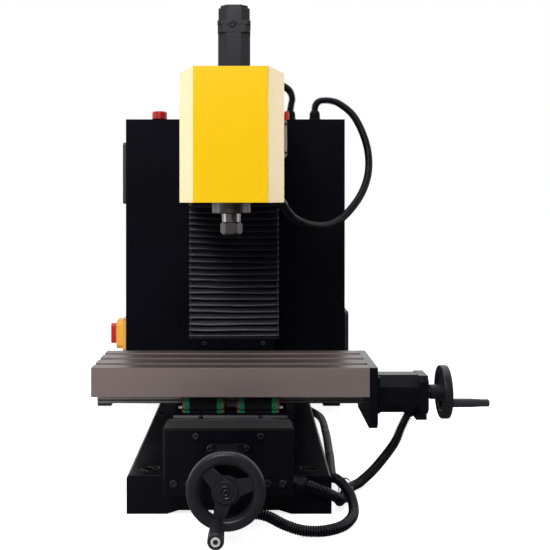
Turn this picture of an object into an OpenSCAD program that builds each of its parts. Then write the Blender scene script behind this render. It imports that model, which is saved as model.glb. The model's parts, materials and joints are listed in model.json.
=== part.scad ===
// Desktop CNC milling machine: table on a saddle, fixed column with a bellows-guarded head,
// ball screws with handwheels on the motors, and a control cabinet behind the column.

/* [Base] */
// Width of the base casting over its feet
base_w = 277; // [260:1:320]
// Length of the base casting from front to back
base_len = 480; // [470:1:520]
// Height of the base casting's top
base_h = 52; // [44:1:60]
// Height of the two rail pads above the base's top
pad_h = 14; // [10:1:18]
// Width of each rail pad
pad_w = 44; // [30:1:46]
// Width of each foot under the base
foot_w = 54.5; // [45:0.5:60]
// How far the underside is raised between the feet
foot_rise = 5; // [3:0.5:8]
// Distance between hold-down holes, side to side
hold_pitch_x = 224; // [200:1:230]
// Distance between hold-down holes, front to back
hold_pitch_y = 414; // [390:1:420]
// Diameter of the hold-down holes
hold_d = 12; // [9:0.5:14]
// Diameter of the machined seat around each hold-down hole
hold_seat_d = 28; // [22:1:32]

/* [Linear guides] */
// Width of every guide rail
rail_w = 15; // [12:0.5:16]
// Height of every guide rail
rail_h = 15; // [12:0.5:16]
// Height from the rail's seat to the carriage's top
guide_h = 28; // [26:0.5:32]
// Width of a carriage
carriage_w = 34; // [30:0.5:36]
// Length of a carriage between its seals' outer faces
carriage_len = 61.4; // [54:0.2:64]
// Thickness of a carriage's end cap
cap_t = 8; // [6:0.5:10]
// Thickness of a carriage's end seal
seal_t = 2.7; // [2:0.1:3.5]
// Distance between the two Y rails
y_rail_pitch = 120; // [110:1:124]
// Distance between the two X rails
x_rail_pitch = 80; // [80:0.5:88]
// Distance between the two Z rails
z_rail_pitch = 100; // [96:1:104]
// Length of the Y rails
y_rail_len = 305; // [290:1:312]
// Length of the X rails
x_rail_len = 390; // [300:1:398]
// Length of the Z rails
z_rail_len = 426; // [410:1:430]

/* [Ball screws] */
// Diameter of every ball screw
screw_d = 16; // [14:0.5:18]
// Diameter of the screws' bearing journals
journal_d = 12; // [10:0.5:13]
// Diameter of a ball nut's body
nut_d = 28; // [25:0.5:30]
// Diameter of a ball nut's flange
nut_flange_d = 44; // [38:0.5:44]
// Size of the square nut brackets
nut_block = 40; // [36:0.5:40]
// Thickness of the fixed-end bearing blocks
fixed_block_t = 25; // [20:0.5:28]
// Thickness of the support-end bearing blocks
support_block_t = 20; // [15:0.5:24]
// Height of the Y bearing blocks' axis above their seat
y_block_axis_h = 25; // [22:0.5:27]
// Distance of the X fixed bearing block inside the table's end
x_fixed_inset = 62; // [58:0.5:66]
// Distance of the Z fixed bearing block below the column's top
z_fixed_drop = 66; // [62:0.5:70]
// Height of the Z ball nut above the head's lower edge
z_nut_rise = 85; // [82:0.5:90]
// Diameter of the shaft couplings
coupling_d = 25; // [20:0.5:30]
// Length of the shaft couplings
coupling_len = 28; // [22:0.5:30]

/* [Motors] */
// Distance between a motor's mounting screws
motor_pitch = 47.14; // [44:0.02:49]
// Distance from a motor's mounting screws to the body's sides
motor_edge = 4.93; // [3.9:0.01:6.4]
// Length of the Y motor with its flange
y_motor_len = 84; // [60:1:95]
// Length of the X motor with its flange
x_motor_len = 82; // [60:1:95]
// Length of the Z motor below its brake
z_motor_len = 80; // [60:1:90]
// Length of the brake on top of the Z motor
brake_len = 35; // [25:1:50]
// Diameter of the motor shafts
shaft_d = 8; // [6:0.5:10]

/* [Handwheels] */
// Outer diameter of the Y handwheel
y_wheel_d = 95; // [80:1:110]
// Outer diameter of the X handwheel
x_wheel_d = 80; // [70:1:100]
// Depth of a handwheel's rim
wheel_rim_t = 13; // [9:0.5:16]
// Diameter of the Y handwheel's hub
wheel_hub_d = 29; // [24:0.5:32]
// Diameter of the X handwheel's hub
x_hub_d = 22; // [20:0.5:26]
// Length of the Y handwheel's revolving grip
y_grip_len = 52; // [40:1:65]
// Length of the X handwheel's revolving grip
x_grip_len = 54; // [40:1:65]
// Gap between a motor's rear end and its handwheel's hub
wheel_gap = 6; // [4:0.5:12]

/* [Saddle and table] */
// Distance of the table's centre in front of the base's centre
table_fwd = 94; // [88:1:98]
// Width of the saddle casting
saddle_w = 167; // [160:1:172]
// Length of the saddle casting from front to back
saddle_len = 140; // [132:1:146]
// Thickness of the saddle casting
saddle_h = 19; // [15:0.5:24]
// Distance of the X rails' ends inside the table's ends
x_rail_inset = 5; // [2:0.5:40]
// Depth of the table from front to back
table_depth = 145; // [140:1:160]
// Thickness of the table
table_h = 42; // [38:1:50]
// Number of T-slots in the table
t_slot_count = 3; // [1:1:3]
// Distance between T-slots
t_slot_pitch = 42; // [38:0.5:46]
// Width of a T-slot's opening
t_slot_w = 12; // [8:0.5:14]
// Depth of the T-slots
t_slot_depth = 20; // [16:0.5:22]
// Thickness of the plate that carries the X motor
end_plate_t = 12; // [8:0.5:16]
// How far the end plate reaches below the table
end_plate_drop = 46.5; // [36:0.5:50]

/* [Column and head] */
// Width of the column
column_w = 145; // [142:1:155]
// Depth of the column from front to back
column_depth = 88; // [70:1:93]
// Height of the column above the base
column_h = 586; // [580:1:620]
// Distance of the column's front face behind the base's centre
column_y = 146; // [142:1:147]
// Distance of the Z screw in front of the column
z_screw_out = 20; // [19:0.5:22]
// Thickness of the plate that carries the Z motor
motor_plate_t = 12; // [8:0.5:16]
// Height of the head cover's lower edge above the floor
head_z = 420; // [415:1:430]
// Height of the head cover
cover_h = 200; // [190:1:208]
// Width of the head cover's front face
cover_front_w = 110; // [100:1:120]
// Width of the head cover at its sides
cover_w = 162; // [152:1:166]
// Thickness of the cover's sheet
cover_t = 2; // [1.5:0.1:3]
// Distance of the cover's front face in front of the spindle
cover_fwd = 50; // [48:1:60]
// Diameter of the spindle cartridge
cartridge_d = 59; // [56:0.5:64]
// How far the cartridge reaches below the head cover
cartridge_out = 16.5; // [8:0.5:24]
// Diameter of the spindle's nose
nose_d = 29; // [26:0.5:34]
// Diameter over the collet nut
collet_nut_d = 34; // [30:0.5:38]
// Diameter of the spindle motor
spindle_motor_d = 80; // [60:1:86]

/* [Bellows] */
// Width of the Z bellows
bellows_w = 157; // [152:1:162]
// Distance of the bellows' front in front of the column
bellows_out = 45; // [43:0.5:48]
// Height of the bellows' lower end below the lower end of the Z rails
bellows_rail_gap = 24; // [16:1:28]
// Number of pleats in the Z bellows
pleats = 20; // [12:1:24]
// Depth of a pleat
pleat_depth = 7; // [4:0.5:7]
// Thickness of the bellows' cloth
cloth_t = 1; // [0.8:0.1:1.5]

/* [Cabinet] */
// Width of the control cabinet
cabinet_w = 415; // [400:1:440]
// Depth of the control cabinet
cabinet_depth = 190; // [170:1:220]
// Height of the control cabinet
cabinet_h = 517; // [500:1:540]
// Height of the cabinet's bottom above the floor
cabinet_z = 60; // [54:1:64]
// Thickness of the cabinet's sheet
sheet_t = 2; // [1.5:0.1:3]
// Size of the square vent covers
vent_size = 119; // [90:1:125]

/* [Conduits] */
// Outer diameter of the corrugated conduits
conduit_d = 14; // [12:0.5:14]
// Outer diameter of the cable glands
gland_d = 22; // [20:0.5:24]

/* [Hidden] */
$fn = 48;
eps = 0.01;        // overshoot of a cutting tool past a face
run = 0.05;        // radial clearance of a running fit
hole_gap = 0.2;    // radial clearance of a screw in its hole
slide_gap = 0.5;   // clearance between a rail and its carriage
work_gap = 2;      // clearance between pieces that pass each other

// Heights of the stacked seats
rail_seat_z = base_h + pad_h;
saddle_z = rail_seat_z + guide_h;
x_seat_z = saddle_z + saddle_h;
table_z = x_seat_z + guide_h;
table_top_z = table_z + table_h;
column_top_z = base_h + column_h;
carriage_gap = 4.3;

// Places along Y
base_front = -base_len / 2;
table_y = -table_fwd;
saddle_y = table_y + 12;
saddle_front = saddle_y - saddle_len / 2;
carriage_step = 38;
y_rail_front = saddle_y - y_rail_len / 2;
column_back = column_y + column_depth;

// Ball screw axes and travel
y_axis_seat_h = 2;
motor_w = motor_pitch + 2 * motor_edge;
y_axis_z = base_h + y_axis_seat_h + y_block_axis_h;
x_axis_z = x_seat_z + nut_block / 2;
z_axis_y = column_y - z_screw_out;
y_block_w = 60;
y_block_h = 43;
narrow_block_w = 40;
nut_flange_t = 10;
nut_body_len = 42;

// Y motor bracket
bracket_w = 171;
bracket_z = 38;
bracket_top = 125;
bracket_plate_t = 12;
coupling_gap = 1;
bracket_depth = bracket_plate_t + coupling_len + 2 * coupling_gap;
bracket_front = base_front - bracket_depth;
bracket_wall = 8;
bracket_foot_w = 45;
bracket_screw_x = [51.2, 70.6];
bracket_screw_z = 56;
bracket_small_x = 42;
bracket_small_z = bracket_top - 8;

// Y bearing blocks
y_fixed_front = base_front;
y_support_back = saddle_y + y_rail_len / 2 + 23;
y_support_front = y_support_back - support_block_t;
y_motor_back = bracket_front - y_motor_len;

// X axis
table_len = x_rail_len + 2 * x_rail_inset;
x_screw_left = -table_len / 2;
x_motor_x = table_len / 2 + end_plate_t;
x_motor_end = x_motor_x + x_motor_len;
x_fixed_x = table_len / 2 - x_fixed_inset;
channel_w = 48;
channel_h = 15;
x_support_x = x_screw_left;
end_plate_z = table_z - end_plate_drop;

// Z axis
z_rail_top = column_top_z - 6;
z_rail_z = z_rail_top - z_rail_len;
bellows_z = z_rail_z - bellows_rail_gap;
z_fixed_z = column_top_z - z_fixed_drop;
z_support_z = bellows_z + 1;
z_block_out = 36;
z_nut_z = head_z + z_nut_rise;
z_motor_z = column_top_z + motor_plate_t;
z_coupling_z = column_top_z - 36;
z_carriage_z = [head_z + 40, head_z + 158];
bellows_top = head_z + 5;
bellows_front = column_y - bellows_out;
bellows_back = column_y - 2;

// Head
casting_z = head_z + 5;
casting_w = cover_w - 2 * cover_t;
casting_back = column_y - guide_h;
casting_web_y = table_y + 50;
clamp_w = 84;
clamp_top = casting_z + 80;
casting_top = clamp_top + 107;
cartridge_z = head_z - cartridge_out;
cartridge_top = clamp_top;
nose_len = 13;
nose_z = cartridge_z - nose_len;
collet_nut_len = 19.5;
collet_nut_z = nose_z - collet_nut_len;
cover_front = table_y - cover_fwd;
cover_corner_y = table_y + 26;
cover_back = table_y + 70;

// Handwheels
wheel_hub_t = 19;
y_hub_front = y_motor_back - wheel_gap - wheel_hub_t;
x_hub_x = x_motor_end + wheel_gap;
grip_bolt_d = 6;

// Cabinet
cabinet_x = 0;
cabinet_y = column_back;
cabinet_back = cabinet_y + cabinet_depth;
cabinet_top = cabinet_z + cabinet_h;
cabinet_side_l = cabinet_x - cabinet_w / 2;
cabinet_side_r = cabinet_x + cabinet_w / 2;
vent_y = cabinet_y + cabinet_depth / 2;
vent_high_z = cabinet_top - 101;
vent_low_z = cabinet_z + 88;
switch_y = cabinet_y + 46;
switch_z = cabinet_z + 105;
estop_x = cabinet_side_l + 59;
top_y = cabinet_y + 48;
gland_x = [cabinet_side_r - 101.5, cabinet_side_r - 53.5];
gland_h = 20;

// Points along the conduits, from the moving or cabinet end to the far end
route_spindle = [
  [154, 282, 597], [155, 282, 607], [160, 282, 615], [170, 281, 618], [186, 279, 617],
  [203, 276, 610], [227, 268, 588], [244, 254, 552], [252, 236, 513], [249, 214, 474],
  [235, 190, 439], [212, 163, 409], [187, 138, 388], [159, 112, 379], [131, 84, 381],
  [106, 54, 391], [92, 30, 403], [82, 12, 415]
];
route_z = [
  [106, 282, 597], [108, 282, 610], [110, 281, 622], [105, 278, 636], [92, 272, 645],
  [75, 262, 650], [58, 246, 655], [44, 228, 660], [32, 208, 664], [22, 190, 666], [16, 170, 666]
];
route_y = [
  [30, -330, 34], [50, -328, 29], [72, -325, 17], [96, -323, 9], [124, -318, 7],
  [146, -303, 7], [160, -278, 7], [167, -252, 9], [167, -226, 17], [162, -209, 24],
  [157, -193, 26.5], [153, -172, 25], [152, -148, 19], [151, -122, 11], [152, -92, 7],
  [154, -56, 7], [157, -14, 7], [159, 30, 7], [161, 74, 7], [163, 118, 7], [164, 162, 7],
  [165, 206, 7], [164, 242, 7], [161, 264, 7], [153, 282, 9], [140, 294, 14], [129, 300, 24],
  [125, 302, 36], [125, 302, 42]
];
x_lead = x_motor_x + 56;
route_x = [
  [x_lead, -94, 99], [x_lead - 10, -97, 81], [x_lead - 21, -104, 60], [x_lead - 38, -114, 41],
  [x_lead - 59, -128, 23], [x_lead - 80, -144, 11], [173, -159, 9], [165, -176, 9],
  [158, -200, 9], [151, -224, 12], [147, -244, 22], [136, -257, 32], [121, -262, 40],
  [103, -263, 47]
];
route_x_joint = 5;  // point where the X conduit's two stretches meet
conduit_sides = 10;

// ---------------------------------------------------------------- shared shapes

// Socket head cap screw pointing down -Z, its head standing on z = 0
module cap_screw(d, len) {
  difference() {
    union() {
      rotate_extrude() polygon([[0, 0], [0.8 * d, 0], [0.8 * d, 0.88 * d], [0.68 * d, d], [0, d]]);
      translate([0, 0, -len]) cylinder(d = d, h = len + eps, $fn = 24);
    }
    translate([0, 0, 0.45 * d]) cylinder(d = 0.95 * d, h = d, $fn = 6);
  }
}

// Places its children at both ends of a distance along X, mirrored about the middle plane
module both_sides(pitch) {
  for (side = [-1, 1]) translate([side * pitch / 2, 0, 0]) children();
}

// Places its children at the four corners of a square in the XY plane
module at_corners(pitch) {
  for (a = [-1, 1], b = [-1, 1]) translate([a * pitch / 2, b * pitch / 2, 0]) children();
}

// Half of a rail's outline from its seat up, with the ball track's waist
function rail_half(s) = [
  [s * rail_w / 2, 0], [s * rail_w / 2, 0.3 * rail_h], [s * (rail_w / 2 - 1.3), 0.42 * rail_h],
  [s * (rail_w / 2 - 1.3), 0.62 * rail_h], [s * rail_w / 2, 0.74 * rail_h],
  [s * rail_w / 2, rail_h - 1], [s * (rail_w / 2 - 1), rail_h]
];

// Profile rail along X with its seat on z = 0
module rail(len) {
  hole_step = 60;
  holes = floor((len - 20) / hole_step);
  difference() {
    rotate([90, 0, 90]) linear_extrude(len, center = true)
      polygon(concat(rail_half(1), [for (i = [6:-1:0]) rail_half(-1)[i]]));
    for (i = [0:holes]) translate([(i - holes / 2) * hole_step, 0, 0]) {
      translate([0, 0, -eps]) cylinder(d = 4.5, h = rail_h + 1, $fn = 24);
      translate([0, 0, rail_h - 5.3]) cylinder(d = 7.5, h = 6, $fn = 24);
    }
  }
}

// Outline of a carriage over its rail, less inset at the outside
module carriage_profile(inset) {
  w = carriage_w / 2 - inset;
  slot = rail_w / 2 + slide_gap;
  top = guide_h - inset;
  foot = carriage_gap + inset;
  polygon([
    [-w, foot], [-slot, foot], [-slot, rail_h + slide_gap], [slot, rail_h + slide_gap],
    [slot, foot], [w, foot], [w, top - 7], [w - 3, top - 4], [w - 3, top], [3 - w, top],
    [3 - w, top - 4], [-w, top - 7]
  ]);
}

carriage_steel = carriage_len - 2 * (cap_t + seal_t);

// Steel body of a carriage, centred on x = 0 over a rail seated on z = 0
module carriage_block() {
  difference() {
    rotate([90, 0, 90]) linear_extrude(carriage_steel, center = true) carriage_profile(0);
    for (a = [-13, 13], b = [-11, 11])
      translate([a, b, guide_h - 6]) cylinder(d = 4, h = 7, $fn = 24);
  }
}

// Both end caps of a carriage
module carriage_end_caps() {
  for (side = [0, 1]) mirror([side, 0, 0]) translate([carriage_steel / 2, 0, 0])
    rotate([90, 0, 90]) linear_extrude(cap_t) carriage_profile(0.6);
}

// Both end seals of a carriage, and its grease nipple at the outer end
module carriage_end_seals() {
  for (side = [0, 1]) mirror([side, 0, 0]) translate([carriage_steel / 2 + cap_t, 0, 0])
    rotate([90, 0, 90]) linear_extrude(seal_t) carriage_profile(1.2);
}

module on_y_rails(at) {
  for (side = [-1, 1]) translate([side * y_rail_pitch / 2, at, rail_seat_z]) rotate([0, 0, 90])
    children();
}

module on_x_rails(at) {
  for (side = [-1, 1]) translate([at, table_y + side * x_rail_pitch / 2, table_z])
    rotate([180, 0, 0]) children();
}

module on_z_rails(at) {
  for (side = [-1, 1]) translate([side * z_rail_pitch / 2, column_y, at])
    rotate([0, -90, 0]) rotate([90, 0, 0]) children();
}

// Ball screw along +Z: threaded length between two journals
module ball_screw(lower_journal, thread, upper_journal) {
  cylinder(d = journal_d, h = lower_journal + thread + upper_journal);
  translate([0, 0, lower_journal]) cylinder(d = screw_d, h = thread);
}

// Clamping shaft coupling along +Z with its slit and clamp screw holes, bored for the shafts
module coupling(lower_d, upper_d) {
  difference() {
    rotate_extrude() polygon([
      [upper_d / 2, coupling_len], [upper_d / 2, coupling_len / 2], [lower_d / 2, coupling_len / 2],
      [lower_d / 2, 0], [coupling_d / 2 - 0.8, 0], [coupling_d / 2, 0.8],
      [coupling_d / 2, coupling_len - 0.8], [coupling_d / 2 - 0.8, coupling_len]
    ]);
    for (z = [6, coupling_len - 6]) translate([journal_d / 2 + 3, 0, z]) rotate([90, 0, 0])
      cylinder(d = 3.2, h = coupling_d, center = true, $fn = 24);
    translate([0, -0.5, -eps]) cube([coupling_d, 1, 11]);
    translate([0, -0.5, coupling_len - 11 + eps]) cube([coupling_d, 1, 11]);
  }
}

// Ball nut along +Z with its flange from z = 0 and its body above it
module ball_nut() {
  difference() {
    union() {
      intersection() {
        cylinder(d = nut_flange_d, h = nut_flange_t);
        cube([nut_flange_d, nut_block, 2 * nut_flange_t], center = true);
      }
      cylinder(d = nut_d, h = nut_body_len);
    }
    translate([0, 0, -eps]) cylinder(r = screw_d / 2 + run, h = nut_body_len + 1);
    for (a = [30, 150, 210, 330]) rotate(a) translate([(nut_flange_d + nut_d) / 4, 0, -eps])
      cylinder(d = 4.5, h = nut_flange_t + 1, $fn = 24);
  }
}

// Square bracket around a ball nut's body along +Z
module nut_bracket(w, d, len) {
  difference() {
    translate([-w / 2, -d / 2, 0]) cube([w, d, len]);
    translate([0, 0, -eps]) cylinder(d = nut_d, h = len + 1);
  }
}

// Square motor frame along +Z: flange from z = 0, ribbed stack and end bell, shaft hole through
module motor_frame(len) {
  flange_t = 5;
  bell_t = 14;
  motor_scallop = 15.5;
  w = motor_w;
  difference() {
    union() {
      linear_extrude(flange_t) square_with_corners(w, 4);
      translate([0, 0, flange_t]) linear_extrude(len - flange_t - bell_t)
        square_with_corners(w - 0.6, motor_scallop);
      translate([0, 0, len - bell_t]) linear_extrude(bell_t) square_with_corners(w, 8);
    }
    translate([0, 0, -eps]) cylinder(r = shaft_d / 2 + run, h = len + 1);
    at_corners(motor_pitch) translate([0, 0, -eps]) cylinder(r = 2.5 + hole_gap, h = flange_t + 1, $fn = 24);
  }
}

// Square of a width with chamfered corners
module square_with_corners(w, c) {
  h = w / 2;
  polygon([
    [h - c, -h], [h, c - h], [h, h - c], [h - c, h], [c - h, h], [-h, h - c], [-h, c - h], [c - h, -h]
  ]);
}

// Cable gland along +Z: hexagon foot, round body and domed nut, open for the conduit's end
module gland(h) {
  cylinder(d = gland_d, h = 0.3 * h, $fn = 6);
  translate([0, 0, 0.3 * h]) rotate_extrude() polygon([
    [0, 0], [0.46 * gland_d, 0], [0.46 * gland_d, 0.45 * h], [0.36 * gland_d, 0.7 * h], [0, 0.7 * h]
  ]);
}

// Direction from one point to another, of length one
function heading(a, b) = (b - a) / norm(b - a);
// Direction of the route at point i, between its two neighbours
function tangent(p, i) = heading(p[max(i - 1, 0)], p[min(i + 1, len(p) - 1)]);
// Vector v turned to stand square on direction t
function square_on(v, t) = let (w = v - (v * t) * t) w / norm(w);
// One side vector per point, carried along the route with the least twist
function sides(p, i = 0, v = [0.1, 0.2, 1]) =
  i >= len(p) ? [] : let (w = square_on(v, tangent(p, i))) concat([w], sides(p, i + 1, w));

// Tube of a diameter with one ring of corners at each of a route's points, from first to last
module tube(p, d, first = 0, last = undef, end_gap = 0) {
  n = conduit_sides;
  end = is_undef(last) ? len(p) - 1 : last;
  u = sides(p);
  rings = [for (i = [first:end], k = [0:n - 1])
    let (a = 360 * k / n, w = cross(tangent(p, i), u[i]), back = i == end ? end_gap : 0)
      p[i] - back * tangent(p, i) + d / 2 * (cos(a) * u[i] + sin(a) * w)];
  walls = [for (i = [0:end - first - 1], k = [0:n - 1])
    let (m = (k + 1) % n) [i * n + k, i * n + m, (i + 1) * n + m, (i + 1) * n + k]];
  start_face = [[for (k = [n - 1:-1:0]) k]];
  end_face = [[for (k = [0:n - 1]) (end - first) * n + k]];
  polyhedron(rings, concat(start_face, walls, end_face), convexity = 8);
}

// Places its children at point p with their +Z along direction d
module along(p, d) {
  translate(p) rotate([0, acos(d.z / norm(d)), atan2(d.y, d.x)]) children();
}

black = [0.15, 0.15, 0.17];
dark = [0.27, 0.27, 0.3];
steel = [0.7, 0.7, 0.72];

// ---------------------------------------------------------------- fixed frame

pad_len = y_rail_len + y_rail_front - base_front + 6;
foot_slope = 16;
cast_edge = 3;
bolt_d = 6;

// Half of the base's outline seen from the front, from the middle of the underside up
function base_half(s) = [
  [s * (base_w / 2 - foot_w - foot_slope), foot_rise], [s * (base_w / 2 - foot_w), 0],
  [s * base_w / 2, 0], [s * base_w / 2, base_h - cast_edge],
  [s * (base_w / 2 - cast_edge), base_h]
];

module base() {
  pocket_w = 2 * (base_w / 2 - foot_w - foot_slope) - 4;
  rib = 16;
  pockets = 5;
  pocket_len = (base_len - (pockets + 1) * rib) / pockets;
  roof = 16;
  color(black) difference() {
    union() {
      translate([0, base_len / 2, 0]) rotate([90, 0, 0]) linear_extrude(base_len)
        polygon(concat(base_half(1), [for (i = [4:-1:0]) base_half(-1)[i]]));
      both_sides(y_rail_pitch) translate([-pad_w / 2, base_front, base_h - eps])
        cube([pad_w, pad_len, pad_h + eps]);
      translate([-y_block_w / 2, y_fixed_front, base_h - eps])
        cube([y_block_w, fixed_block_t, y_axis_seat_h + eps]);
      translate([-y_block_w / 2, y_support_front, base_h - eps])
        cube([y_block_w, support_block_t, y_axis_seat_h + eps]);
    }
    for (x = [-1, 1], y = [-1, 1]) translate([x * hold_pitch_x / 2, y * hold_pitch_y / 2, 0]) {
      translate([0, 0, -eps]) cylinder(d = hold_d, h = base_h + 1);
      translate([0, 0, base_h - 1]) cylinder(d = hold_seat_d, h = 2);
    }
    for (i = [0:pockets - 1]) translate([-pocket_w / 2, base_front + rib + i * (pocket_len + rib), -eps])
      cube([pocket_w, pocket_len, base_h - roof]);
    for (s = [-1, 1], x = bracket_screw_x) translate([s * x, base_front - eps, bracket_screw_z])
      rotate([-90, 0, 0]) cylinder(r = bolt_d / 2 + hole_gap, h = 22, $fn = 24);
  }
}

module column() {
  wall = 12;
  cap = 20;
  cable_window = 60;
  color(black) difference() {
    translate([0, column_y, base_h]) linear_extrude(column_h) difference() {
      polygon([
        [-column_w / 2, 0], [column_w / 2, 0], [column_w / 2, column_depth - 6],
        [column_w / 2 - 6, column_depth], [6 - column_w / 2, column_depth],
        [-column_w / 2, column_depth - 6]
      ]);
    }
    translate([wall - column_w / 2, column_y + wall, base_h - eps])
      cube([column_w - 2 * wall, column_depth - 2 * wall, column_h - cap]);
    for (i = [0:2]) translate([-cable_window / 2, column_back - wall - 1, base_h + 90 + i * 160])
      cube([cable_window, wall + 2, 90]);
  }
}

module y_rails() {
  color(steel) on_y_rails(saddle_y) rail(y_rail_len);
}

module z_rails() {
  color(steel) on_z_rails(z_rail_z + z_rail_len / 2) rail(z_rail_len);
}

// Stepped bearing block seen along its axis, which is axis_h above its seat on z = 0
module block_profile(w, h, axis_h) {
  difference() {
    polygon([
      [-w / 2, 0], [w / 2, 0], [w / 2, 0.55 * h], [w / 2 - 12, 0.6 * h], [w / 2 - 12, h - 3],
      [w / 2 - 15, h], [15 - w / 2, h], [12 - w / 2, h - 3], [12 - w / 2, 0.6 * h], [-w / 2, 0.55 * h]
    ]);
    translate([0, axis_h]) circle(r = journal_d / 2 + run);
  }
}

// Plain narrow bearing block seen along its axis
module narrow_profile(w, h, axis_h) {
  difference() {
    polygon([
      [-w / 2, 0], [w / 2, 0], [w / 2, h - 4], [w / 2 - 4, h], [4 - w / 2, h], [-w / 2, h - 4]
    ]);
    translate([0, axis_h]) circle(r = journal_d / 2 + run);
  }
}

module y_block(front, t) {
  translate([0, front + t, base_h + y_axis_seat_h]) rotate([90, 0, 0]) difference() {
    linear_extrude(t) block_profile(y_block_w, y_block_h, y_block_axis_h);
    both_sides(y_block_w - 14) translate([0, 0, t / 2]) rotate([-90, 0, 0])
      translate([0, 0, -eps]) cylinder(d = 6.6, h = y_block_h, $fn = 24);
  }
}

module z_block(z, t) {
  translate([0, column_y, z]) rotate([0, 0, 180]) linear_extrude(t)
    narrow_profile(narrow_block_w, z_block_out, z_screw_out);
}

module bearing_blocks() {
  color(dark) {
    y_block(y_fixed_front, fixed_block_t);
    y_block(y_support_front, support_block_t);
    z_block(z_fixed_z, fixed_block_t);
    z_block(z_support_z, support_block_t);
  }
}

module y_motor_bracket() {
  h = bracket_top - bracket_z;
  r = 3;
  color(black) difference() {
    union() {
      translate([-bracket_w / 2, bracket_front, bracket_z]) linear_extrude(h) polygon([
        [r, 0], [bracket_w - r, 0], [bracket_w, r], [bracket_w, bracket_depth],
        [bracket_w - bracket_wall, bracket_depth], [bracket_w - bracket_wall, bracket_plate_t],
        [bracket_wall, bracket_plate_t], [bracket_wall, bracket_depth], [0, bracket_depth], [0, r]
      ]);
      for (s = [0, 1]) mirror([s, 0, 0])
        translate([bracket_w / 2 - bracket_foot_w, bracket_front + 1, bracket_z])
          cube([bracket_foot_w - 1, bracket_depth - 1, rail_seat_z - bracket_z]);
    }
    translate([0, bracket_front - 1, y_axis_z]) rotate([-90, 0, 0])
      cylinder(d = coupling_d + 2, h = bracket_plate_t + 2);
    for (s = [-1, 1]) {
      for (x = bracket_screw_x) translate([s * x, bracket_front - 1, bracket_screw_z])
        rotate([-90, 0, 0]) cylinder(r = bolt_d / 2 + hole_gap, h = bracket_depth + 2, $fn = 24);
      translate([s * bracket_small_x, bracket_front - 1, bracket_small_z])
        rotate([-90, 0, 0]) cylinder(r = 2.5 + hole_gap, h = bracket_plate_t + 2, $fn = 24);
    }
    translate([0, bracket_front, y_axis_z]) rotate([90, 0, 0]) at_corners(motor_pitch)
      translate([0, 0, -9]) cylinder(r = 2.5 + hole_gap, h = 10, $fn = 24);
  }
}

module y_motor() {
  color(black) {
    translate([0, bracket_front, y_axis_z]) rotate([90, 0, 0]) motor_frame(y_motor_len);
    difference() {
      translate([-16, y_motor_back + 14, y_axis_z - motor_w / 2 - 24]) cube([28, 42, 24.4]);
      translate([-13, y_motor_back + 17, y_axis_z - motor_w / 2 - 21]) cube([22, 36, 18]);
    }
  }
}

module z_motor_plate() {
  edge = motor_w / 2 + 5.5;
  front = z_axis_y - edge;
  back = column_back - 20;
  w = column_w / 2;
  color(black) difference() {
    translate([0, 0, column_top_z]) linear_extrude(motor_plate_t) polygon([
      [-edge, front], [edge, front], [w - 6, column_y - 4], [w - 6, back], [6 - w, back],
      [6 - w, column_y - 4]
    ]);
    translate([0, z_axis_y, column_top_z - 1]) cylinder(d = coupling_d + 2, h = motor_plate_t + 2);
  }
}

module z_motor() {
  ring_t = 7;
  cap_t = brake_len - ring_t;
  w = motor_w;
  color(dark) difference() {
    translate([0, z_axis_y, z_motor_z]) {
      motor_frame(z_motor_len);
      translate([0, 0, z_motor_len]) linear_extrude(ring_t) square_with_corners(w + 1, 5);
      translate([0, 0, z_motor_len + ring_t]) linear_extrude(cap_t - 5) square_with_corners(w - 2, 14);
      translate([0, 0, z_motor_len + brake_len - 5]) linear_extrude(5) square_with_corners(w - 9, 12);
    }
    translate([0, z_axis_y, z_motor_z]) cylinder(r = shaft_d / 2 + run, h = z_motor_len + ring_t);
  }
}

// Plan corners of the bellows' cloth with its walls moved inward by a distance
function bellows_ring(d, z) = let (x = bellows_w / 2 - d, y = bellows_front + d, t = cloth_t) [
  [-x, bellows_back, z], [-x, y, z], [x, y, z], [x, bellows_back, z],
  [x - t, bellows_back, z], [x - t, y + t, z], [t - x, y + t, z], [t - x, bellows_back, z]
];

module z_bellows() {
  flange_t = 2;
  flange_w = pleat_depth + 1.5;
  low = bellows_z + flange_t;
  high = bellows_top - flange_t;
  levels = 2 * pleats;
  rings = [for (i = [0:levels]) bellows_ring(i % 2 == 0 ? pleat_depth : 0, low + (high - low) * i / levels)];
  points = [for (ring = rings, p = ring) p];
  walls = [for (i = [0:levels - 1], k = [0:7]) let (m = (k + 1) % 8)
    [i * 8 + k, (i + 1) * 8 + k, (i + 1) * 8 + m, i * 8 + m]];
  ends = [[0, 1, 6, 7], [1, 2, 5, 6], [2, 3, 4, 5]];
  color(black) {
    polyhedron(points, concat(ends, walls, [for (e = ends) [for (k = [3:-1:0]) levels * 8 + e[k]]]),
      convexity = 10);
    for (z = [bellows_z, high]) translate([0, 0, z]) linear_extrude(flange_t) difference() {
      translate([-bellows_w / 2, bellows_front]) square([bellows_w, bellows_back - bellows_front]);
      translate([flange_w - bellows_w / 2, bellows_front + flange_w])
        square([bellows_w - 2 * flange_w, bellows_back - bellows_front]);
    }
  }
}

bellows_bracket_h = 19;
bellows_bracket_w = 138;
bellows_bracket_t = 3;
bellows_bracket_y = bellows_front + 2;
bellows_screw_x = 51;

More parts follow.
